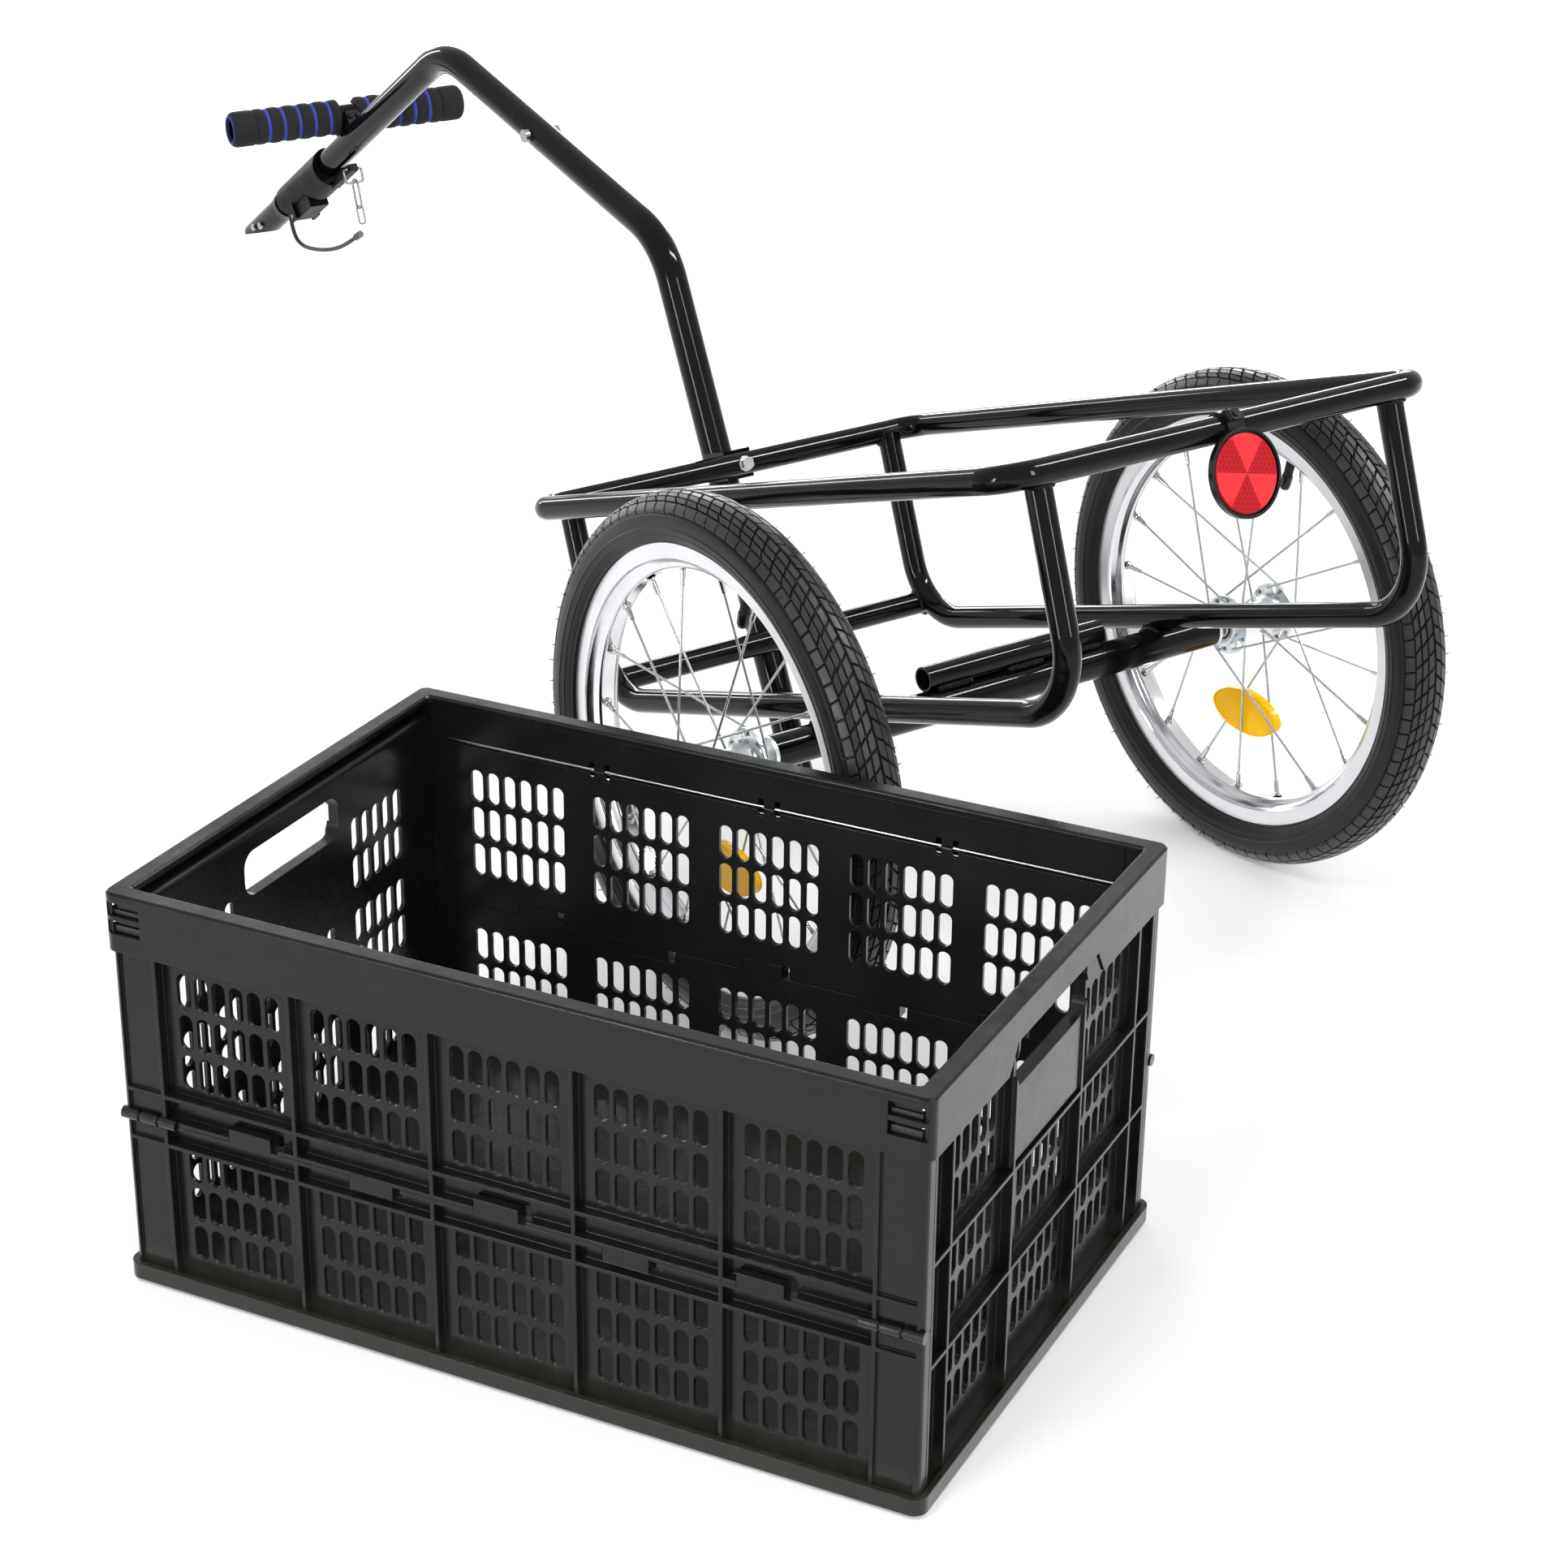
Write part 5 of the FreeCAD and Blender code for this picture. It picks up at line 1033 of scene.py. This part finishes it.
dress(
    crate_plastic,
    "crate_rim", "crate_base", "crate_wall_left_lower", "crate_wall_left_upper",
    "crate_wall_right_lower", "crate_wall_right_upper", "crate_end_near", "crate_end_far",
)
dress(rod_steel, "crate_rods")

# Weld beads where tubes meet, in the trailer's frame

hoop_front_foot = Vector((hoop_offset, 0.2986, hoop_bottom_height))
hoop_front_head = Vector((hoop_offset, 0.3065, rail_height))
hoop_rear_foot = Vector((hoop_offset, -0.2921, hoop_bottom_height))
hoop_rear_head = Vector((hoop_offset, -0.2875, rail_height))
along_side = Vector((1, 0, 0))


def ripple(turn, seed):
    return 1 + 0.16 * math.sin(31 * turn + seed) + 0.1 * math.sin(47 * turn + 2 * seed)


def joint_bead(start, along, radius, host, host_along, host_radius, width=0.0017):
    """The bead round a tube that runs from start along a direction into a host tube."""
    along = along.normalized()
    seed = along.orthogonal().normalized()
    other = along.cross(seed)
    across = along - host_along * along.dot(host_along)
    points = []
    radii = []
    count = 120
    waver = 0.0002
    for step in range(count):
        turn = 2 * math.pi * step / count
        surface = start + (seed * math.cos(turn) + other * math.sin(turn)) * radius
        offset = surface - host
        offset -= host_along * offset.dot(host_along)
        square = across.length_squared
        half = offset.dot(across)
        spread = half ** 2 - square * (offset.length_squared - host_radius ** 2)
        reach = (-half - math.sqrt(max(spread, 0.0))) / square
        points.append(surface + along * (reach + waver * math.sin(23 * turn)))
        radii.append(width * ripple(turn, start.y * 40))
    return tube_mesh("bead", points, radii, 10, closed=True)


def run_bead(start, end, width, lumps):
    """A straight bead in the groove between two tubes."""
    points = []
    radii = []
    count = lumps * 8
    for step in range(count + 1):
        share = step / count
        points.append(start.lerp(end, share))
        swell = abs(math.sin(math.pi * lumps * share))
        ends = min(1.0, 8 * share + 0.3, 8 * (1 - share) + 0.3)
        radii.append(width * ends * (0.78 + 0.3 * swell + 0.08 * math.sin(29 * share)))
    return tube_mesh("bead", points, radii, 10)


def hoop_beads():
    """Beads between the hoops and the rail, the crossbar and the axle tube, and under its socket."""
    elbow = hoop_front_foot + Vector((0, -hoop_elbow_radius, hoop_elbow_radius))
    out = Vector((0, crossbar_middle.y - elbow.y, crossbar_middle.z - elbow.z)).normalized()
    saddle_half_turn = math.radians(44)
    saddle_points = 13
    saddle_radius = axle_tube_radius + 0.0012
    saddle_offset = 0.0068
    groove_offset = 0.0072
    groove_height = 0.0137
    groove_runs = ((-0.062, -0.028), (0.004, 0.04), (0.066, 0.096))
    crossbar_bead = 0.002
    saddle_bead = 0.0026
    groove_bead = 0.0027
    groove_lumps = 14
    hoop_start_share = 0.6
    crossbar_start_share = 0.8
    meshes = []
    for sign in (-1, 1):
        flip = Matrix.Diagonal((sign, 1, 1))
        for foot, head, rail in (
            (hoop_front_foot, hoop_front_head, rail_front),
            (hoop_rear_foot, hoop_rear_head, rail_rear),
        ):
            start = flip @ foot.lerp(head, hoop_start_share)
            host = Vector((0, rail, rail_height))
            meshes.append(joint_bead(start, flip @ (head - foot), tube_radius, host, along_side, tube_radius))
        start = crossbar_middle + along_side * sign * hoop_offset * crossbar_start_share
        host = flip @ (elbow + out * hoop_elbow_radius)
        host_along = Vector((0, -out.z, out.y))
        meshes.append(
            joint_bead(start, along_side * sign, tube_radius, host, host_along, tube_radius, crossbar_bead)
        )
        for side in (-1, 1):
            points = []
            radii = []
            for step in range(saddle_points):
                turn = saddle_half_turn * (2 * step / (saddle_points - 1) - 1)
                place = sign * hoop_offset + side * saddle_offset
                points.append(Vector((place, saddle_radius * math.sin(turn), saddle_radius * math.cos(turn))))
                radii.append(saddle_bead * (0.75 + 0.3 * abs(math.sin(step * 1.9))))
            meshes.append(tube_mesh("bead", points, radii, 10))
    for side in (-1, 1):
        groove = Vector((0, side * groove_offset, groove_height))
        for low, high in groove_runs:
            ends = (groove + along_side * low, groove + along_side * high)
            meshes.append(run_bead(*ends, groove_bead, groove_lumps))
    return joined("weld_beads", meshes)


finish_piece(add_object("weld_beads", hoop_beads(), weld_enamel, trailer_frame), "trailer", "black_frame")

# Crate: dusty hinge plates and bright pin ends in the pockets of its rim, in the crate's own frame

crate_frame = Matrix.Translation((-0.2428138, -0.5559572, 0)) @ Matrix.Rotation(math.radians(-62.24), 4, "Z")
pocket_face = 0.17705
pocket_middle = 0.25925
pocket_plate_heights = ((0.2475, 0.2519), (0.2594, 0.2622))
pocket_pin_heights = ((0.2549, 0.0013), (0.2659, 0.0009))
pockets = [(end, wall) for end in (-1, 1) for wall in (-1, 1)]


def pocket_plates():
    half_length = 0.0114
    sunk = 0.0001
    proud = 0.0012
    ease = 0.0002
    meshes = []
    for end, wall in pockets:
        near, far = sorted((wall * (pocket_face - sunk), wall * (pocket_face + proud)))
        for low, high in pocket_plate_heights:
            first = Vector((end * pocket_middle - half_length, near, low))
            last = Vector((end * pocket_middle + half_length, far, high))
            meshes.append(box_mesh("plate", first, last, ease))
    return joined("pocket_plates", meshes)


def pocket_pins():
    offset = 0.0082
    sunk = 0.0002
    meshes = []
    for end, wall in pockets:
        for height, radius in pocket_pin_heights:
            foot = Vector((end * (pocket_middle + offset), wall * (pocket_face - sunk), height))
            stations = ((0.0, radius), (0.0017, radius), (0.0022, radius * 0.8), (0.0024, radius * 0.4))
            meshes.append(stepped_pin("pin", foot, Vector((0, wall, 0)), stations, 14))
    return joined("pocket_pins", meshes)


for name, mesh, material, slot in (
    ("crate_pocket_plates", pocket_plates(), crate_pocket, "crate_plastic"),
    ("crate_pocket_pins", pocket_pins(), bolt_zinc, "zinc_steel"),
):
    finish_piece(add_object(name, mesh, material, crate_frame), "crate", slot)

# Handle grips: foam sleeves with blue bands in their waists

run_direction = Vector((0, math.cos(front_run_angle), -math.sin(front_run_angle)))
run_up = Vector((0, math.sin(front_run_angle), math.cos(front_run_angle)))
run_height = high_bend_height - front_run_slope * (bar_forward - high_bend_forward)
bar_place = Vector((drawbar_offset, bar_forward, run_height)) + run_up * bar_lift
bar_level = Vector((1, 0, 0)) * math.cos(bar_twist) - run_direction * math.sin(bar_twist)
bar_axis = bar_level * math.cos(bar_tilt) - run_up * math.sin(bar_tilt)
bar_side = run_up.cross(bar_axis).normalized()
bar_up = bar_axis.cross(bar_side).normalized()
bar_rotation = Matrix((bar_axis, bar_side, bar_up)).transposed().to_4x4()
bar_frame = trailer_frame @ Matrix.Translation(bar_place) @ bar_rotation
band_places = (0.0195, 0.0345, 0.0495, 0.0645, 0.0795)
band_half_width = 0.0024
band_waist_depth = 0.0013
band_waist_spread = 0.0028
seam_place = 0.0915
seam_depth = 0.0010
seam_spread = 0.0009
swell_drop = 0.00035


def grip_radius_at(along):
    radius = grip_radius
    for place in band_places:
        radius -= band_waist_depth * math.exp(-((along - place) / band_waist_spread) ** 2)
    radius -= seam_depth * math.exp(-((along - seam_place) / seam_spread) ** 2)
    edges = [grip_start] + list(band_places) + [seam_place, grip_end]
    for low, high in zip(edges, edges[1:]):
        if low <= along <= high:
            radius -= swell_drop * abs(2 * (along - low) / (high - low) - 1) ** 3
    return radius


def quarter_drop(reach, distance):
    """How far a quarter round of this reach has dropped, this far from the end."""
    if distance >= reach:
        return 0.0
    return reach - math.sqrt(max(reach ** 2 - (reach - distance) ** 2, 0.0))


def grip_mesh():
    steps = 150
    round_in = 0.0026
    round_out = 0.0052
    flatten = 0.7
    profile = [(grip_start, bar_radius + 0.0001), (grip_start, grip_radius - 0.003)]
    for step in range(steps + 1):
        along = grip_start + (grip_end - grip_start) * step / steps
        drop_in = quarter_drop(round_in, along - grip_start)
        drop_out = quarter_drop(round_out, grip_end - along) * flatten
        profile.append((along, grip_radius_at(along) - drop_in - drop_out))
    profile += [(grip_end - 0.0003, 0.0116), (grip_end - 0.0012, 0.0104), (grip_end - 0.006, 0.0101)]
    return lathe("grip", profile, 96, sharp_deg=70)


def band_mesh():
    """The blue bands, and the blue mouth at the sleeve's end."""
    foot = bar_radius + 0.003
    sunk = 0.0009
    bow = 0.0006
    face_half_width = 0.0022
    mouth_radius = 0.0124
    mouth_depth = 0.0002
    mouth_points = 64
    meshes = []
    for place in band_places:
        ring = [(place - band_half_width, foot)]
        for step in range(9):
            share = step / 8 * 2 - 1
            ring.append((place + share * face_half_width, grip_radius - sunk - bow * share ** 2))
        ring.append((place + band_half_width, foot))
        meshes.append(lathe("band", ring, 96))
    mouth = []
    for step in range(mouth_points):
        mouth.append(around_x(grip_end - mouth_depth, mouth_radius, 2 * math.pi * step / mouth_points))
    meshes.append(tube_mesh("mouth", mouth, 0.0008, 8, closed=True))
    return joined("bands", meshes)


for side_name, sign in (("right", 1), ("left", -1)):
    foam_mesh = grip_mesh()
    bands = band_mesh()
    if sign < 0:
        foam_mesh = mirrored_copy(foam_mesh, "grip_left")
        bands = mirrored_copy(bands, "bands_left")
    grip = add_object("grip_foam_" + side_name, foam_mesh, foam, bar_frame)
    finish_piece(grip, "trailer", "grip_foam", "grip_" + side_name)
    finish_piece(add_object("grip_bands_" + side_name, bands, blue_foam, bar_frame), "trailer", "grip_foam")

# Rear reflector lens

lens_low, lens_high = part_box("reflector_lens")
lens_centre = (lens_low + lens_high) / 2
lens_radius = 0.0274
lens_back = -0.0012
lens_rim = 0.0006
lens_face = 0.0014


def lens_mesh():
    profile = [
        (lens_back, 0.0),
        (lens_back, lens_radius),
        (lens_rim, lens_radius),
        (lens_face - 0.0001, lens_radius - 0.0007),
        (lens_face, lens_radius - 0.0012),
        (lens_face, 0.0),
    ]
    mesh = lathe("lens", rounded(profile, 0.0004), 96, sharp_deg=40)
    mesh.transform(Matrix(((0, 1, 0, 0), (0, 0, 1, 0), (1, 0, 0, 0), (0, 0, 0, 1))))
    return mesh


# The last turn sets where the painted lit and shaded sectors of the lens lie.
lens_matrix = (
    Matrix.Translation(lens_centre)
    @ Matrix.Rotation(-nose_down, 4, "X")
    @ Matrix(((1, 0, 0, 0), (0, 0, -1, 0), (0, 1, 0, 0), (0, 0, 0, 1)))
    @ Matrix.Rotation(math.radians(-42), 4, "Z")
)
lens = add_object("reflector_lens_prisms", lens_mesh(), lens_red, lens_matrix)
finish_piece(lens, "trailer", "red_plastic", "reflector_lens")

# Safety strap: a narrow nylon tape from the ring on the tube to its terminal

strap_route = [
    Vector((0.008, 1.0308, 0.460352)),
    Vector((0.008, 1.0315, 0.442552)),
    Vector((0.008, 1.0170, 0.431052)),
    Vector((0.008, 0.9960, 0.425852)),
    Vector((0.008, 0.9690, 0.422252)),
    Vector((0.008, 0.9420, 0.421652)),
    Vector((0.008, 0.9180, 0.424652)),
    Vector((0.008, 0.9015, 0.428152)),
]
strap_radius = 0.002
strap_curve = bpy.data.curves.new("strap_line", "CURVE")
strap_curve.dimensions = "3D"
strap_curve.bevel_depth = strap_radius
strap_curve.bevel_resolution = 5
strap_curve.resolution_u = 16
strap_curve.use_fill_caps = True
spline = strap_curve.splines.new("NURBS")
spline.points.add(len(strap_route) - 1)
for target, point in zip(spline.points, strap_route):
    target.co = (*(trailer_frame @ point), 1)
spline.order_u = 3
spline.use_endpoint_u = True
strap = bpy.data.objects.new("safety_strap_tape", strap_curve)
bpy.context.scene.collection.objects.link(strap)
strap_curve.materials.append(strap_nylon)
finish_piece(strap, "trailer", "strap_web", "safety_strap")

# Floor, light and camera


def floor_finish():
    """A pale matt floor that glows, more so away from the middle, until it runs out into white."""
    pale = (0.7, 0.7, 0.7, 1)
    glow_start = 1.1
    glow_end = 3.2
    material = bpy.data.materials.new("floor_pale")
    material.use_nodes = True
    floor = Nodes(material.node_tree)
    floor.tree.nodes.clear()
    output = floor.node("ShaderNodeOutputMaterial")
    diffuse = floor.node("ShaderNodeBsdfDiffuse", Color=pale)
    place = floor.node("ShaderNodeTexCoord")
    reach = floor.node("ShaderNodeVectorMath")
    reach.operation = "LENGTH"
    floor.feed(reach.inputs[0], place.outputs["Object"])
    path = floor.node("ShaderNodeLightPath")
    last = diffuse.outputs["BSDF"]
    for ray, near, far in (
        ("Is Camera Ray", 0.2, 0.6),
        ("Is Glossy Ray", 0.8, 0.8),
        ("Is Transmission Ray", 0.2, 0.6),
    ):
        strength = floor.ramp(reach.outputs["Value"], near, far, glow_start, glow_end)
        glow = floor.node("ShaderNodeEmission", Color=(1, 1, 1, 1), Strength=strength)
        both = floor.node("ShaderNodeAddShader")
        floor.feed_in_order(both, last, glow.outputs["Emission"])
        last = floor.blend(path.outputs[ray], last, both.outputs["Shader"])
    floor.feed(output.inputs["Surface"], last)
    return material


floor_half_size = 20.0
floor_signs = ((-1, -1), (1, -1), (1, 1), (-1, 1))
floor_corners = [(x * floor_half_size, y * floor_half_size, 0) for x, y in floor_signs]
floor_mesh = bpy.data.meshes.new("floor")
floor_mesh.from_pydata(floor_corners, [], [(0, 1, 2, 3)])
add_object("floor", floor_mesh, floor_finish(), Matrix.Translation((0, 0, -0.0002)))


def world_light():
    """White to the eye and in reflections, and softer on matt surfaces."""
    soft_strength = 0.7
    world = bpy.data.worlds.new("studio")
    bpy.context.scene.world = world
    world.use_nodes = True
    sky = Nodes(world.node_tree)
    sky.tree.nodes.clear()
    output = sky.node("ShaderNodeOutputWorld")
    soft = sky.node("ShaderNodeBackground", Color=(1, 1, 1, 1), Strength=soft_strength)
    white = sky.node("ShaderNodeBackground", Color=(1, 1, 1, 1), Strength=1.0)
    path = sky.node("ShaderNodeLightPath")
    shine = sky.math("MAXIMUM", path.outputs["Is Glossy Ray"], path.outputs["Is Transmission Ray"])
    seen = sky.math("MAXIMUM", path.outputs["Is Camera Ray"], shine)
    both = sky.blend(seen, soft.outputs["Background"], white.outputs["Background"])
    sky.feed(output.inputs["Surface"], both)


world_light()


lamp_target = Vector((0, 0, 0.2))


def softbox(name, place, width, height, power, matt, long_axis=(0, 0, 1)):
    """A rectangular lamp that faces the object: matt ones light it, the others only shine in gloss."""
    light = bpy.data.lights.new(name, "AREA")
    light.shape = "RECTANGLE"
    light.size = width
    light.size_y = height
    light.energy = power
    lamp = bpy.data.objects.new(name, light)
    bpy.context.scene.collection.objects.link(lamp)
    back = (Vector(place) - lamp_target).normalized()
    across = Vector(long_axis).cross(back).normalized()
    facing = Matrix((across, back.cross(across), back)).transposed().to_4x4()
    lamp.matrix_world = Matrix.Translation(place) @ facing
    lamp.visible_diffuse = matt
    lamp.visible_glossy = not matt


softbox("key", (-2.2, -1.0, 3.0), 1.0, 1.0, 64, True)
softbox("fill", (3.0, -0.6, 1.5), 1.2, 1.6, 45, True)
softbox("back", (0.9, 2.6, 2.8), 1.6, 1.0, 32, True)
softbox("front", (-1.4, -3.1, 1.7), 1.6, 1.2, 58, True)
softbox("strip_front", (-0.3, 3.5, 1.15), 0.3, 1.5, 26, False)
softbox("strip_top", (1.75, -1.2, 2.6), 0.22, 1.5, 80, False, (-0.844, -0.235, 0.48))
softbox("strip_back", (2.2, 2.9, 1.05), 3.2, 0.4, 60, False)
softbox("strip_left", (-3.0, -0.8, 0.75), 0.26, 1.5, 50, False)
softbox("strip_right", (0.45, -2.9, 1.6), 0.3, 1.5, 40, False)

camera_place = Vector((-1.2458111, -2.0750528, 1.1551))
camera_yaw = 0.629
camera_pitch = -0.424
camera_roll = 0.011
camera_lens = 75.69
camera_sensor = 36
camera_shift = (0.0015, -0.0033)
look = Vector((
    math.sin(camera_yaw) * math.cos(camera_pitch),
    math.cos(camera_yaw) * math.cos(camera_pitch),
    math.sin(camera_pitch),
))
level = Vector((math.cos(camera_yaw), -math.sin(camera_yaw), 0))
upright = level.cross(look)
right = level * math.cos(camera_roll) + upright * math.sin(camera_roll)
above = upright * math.cos(camera_roll) - level * math.sin(camera_roll)
camera_data = bpy.data.cameras.new("camera")
camera_data.sensor_width = camera_sensor
camera_data.lens = camera_lens
camera_data.shift_x, camera_data.shift_y = camera_shift
camera = bpy.data.objects.new("camera", camera_data)
bpy.context.scene.collection.objects.link(camera)
camera.matrix_world = Matrix.Translation(camera_place) @ Matrix((right, above, -look)).transposed().to_4x4()
bpy.context.scene.camera = camera
bpy.context.scene.view_settings.view_transform = "Standard"
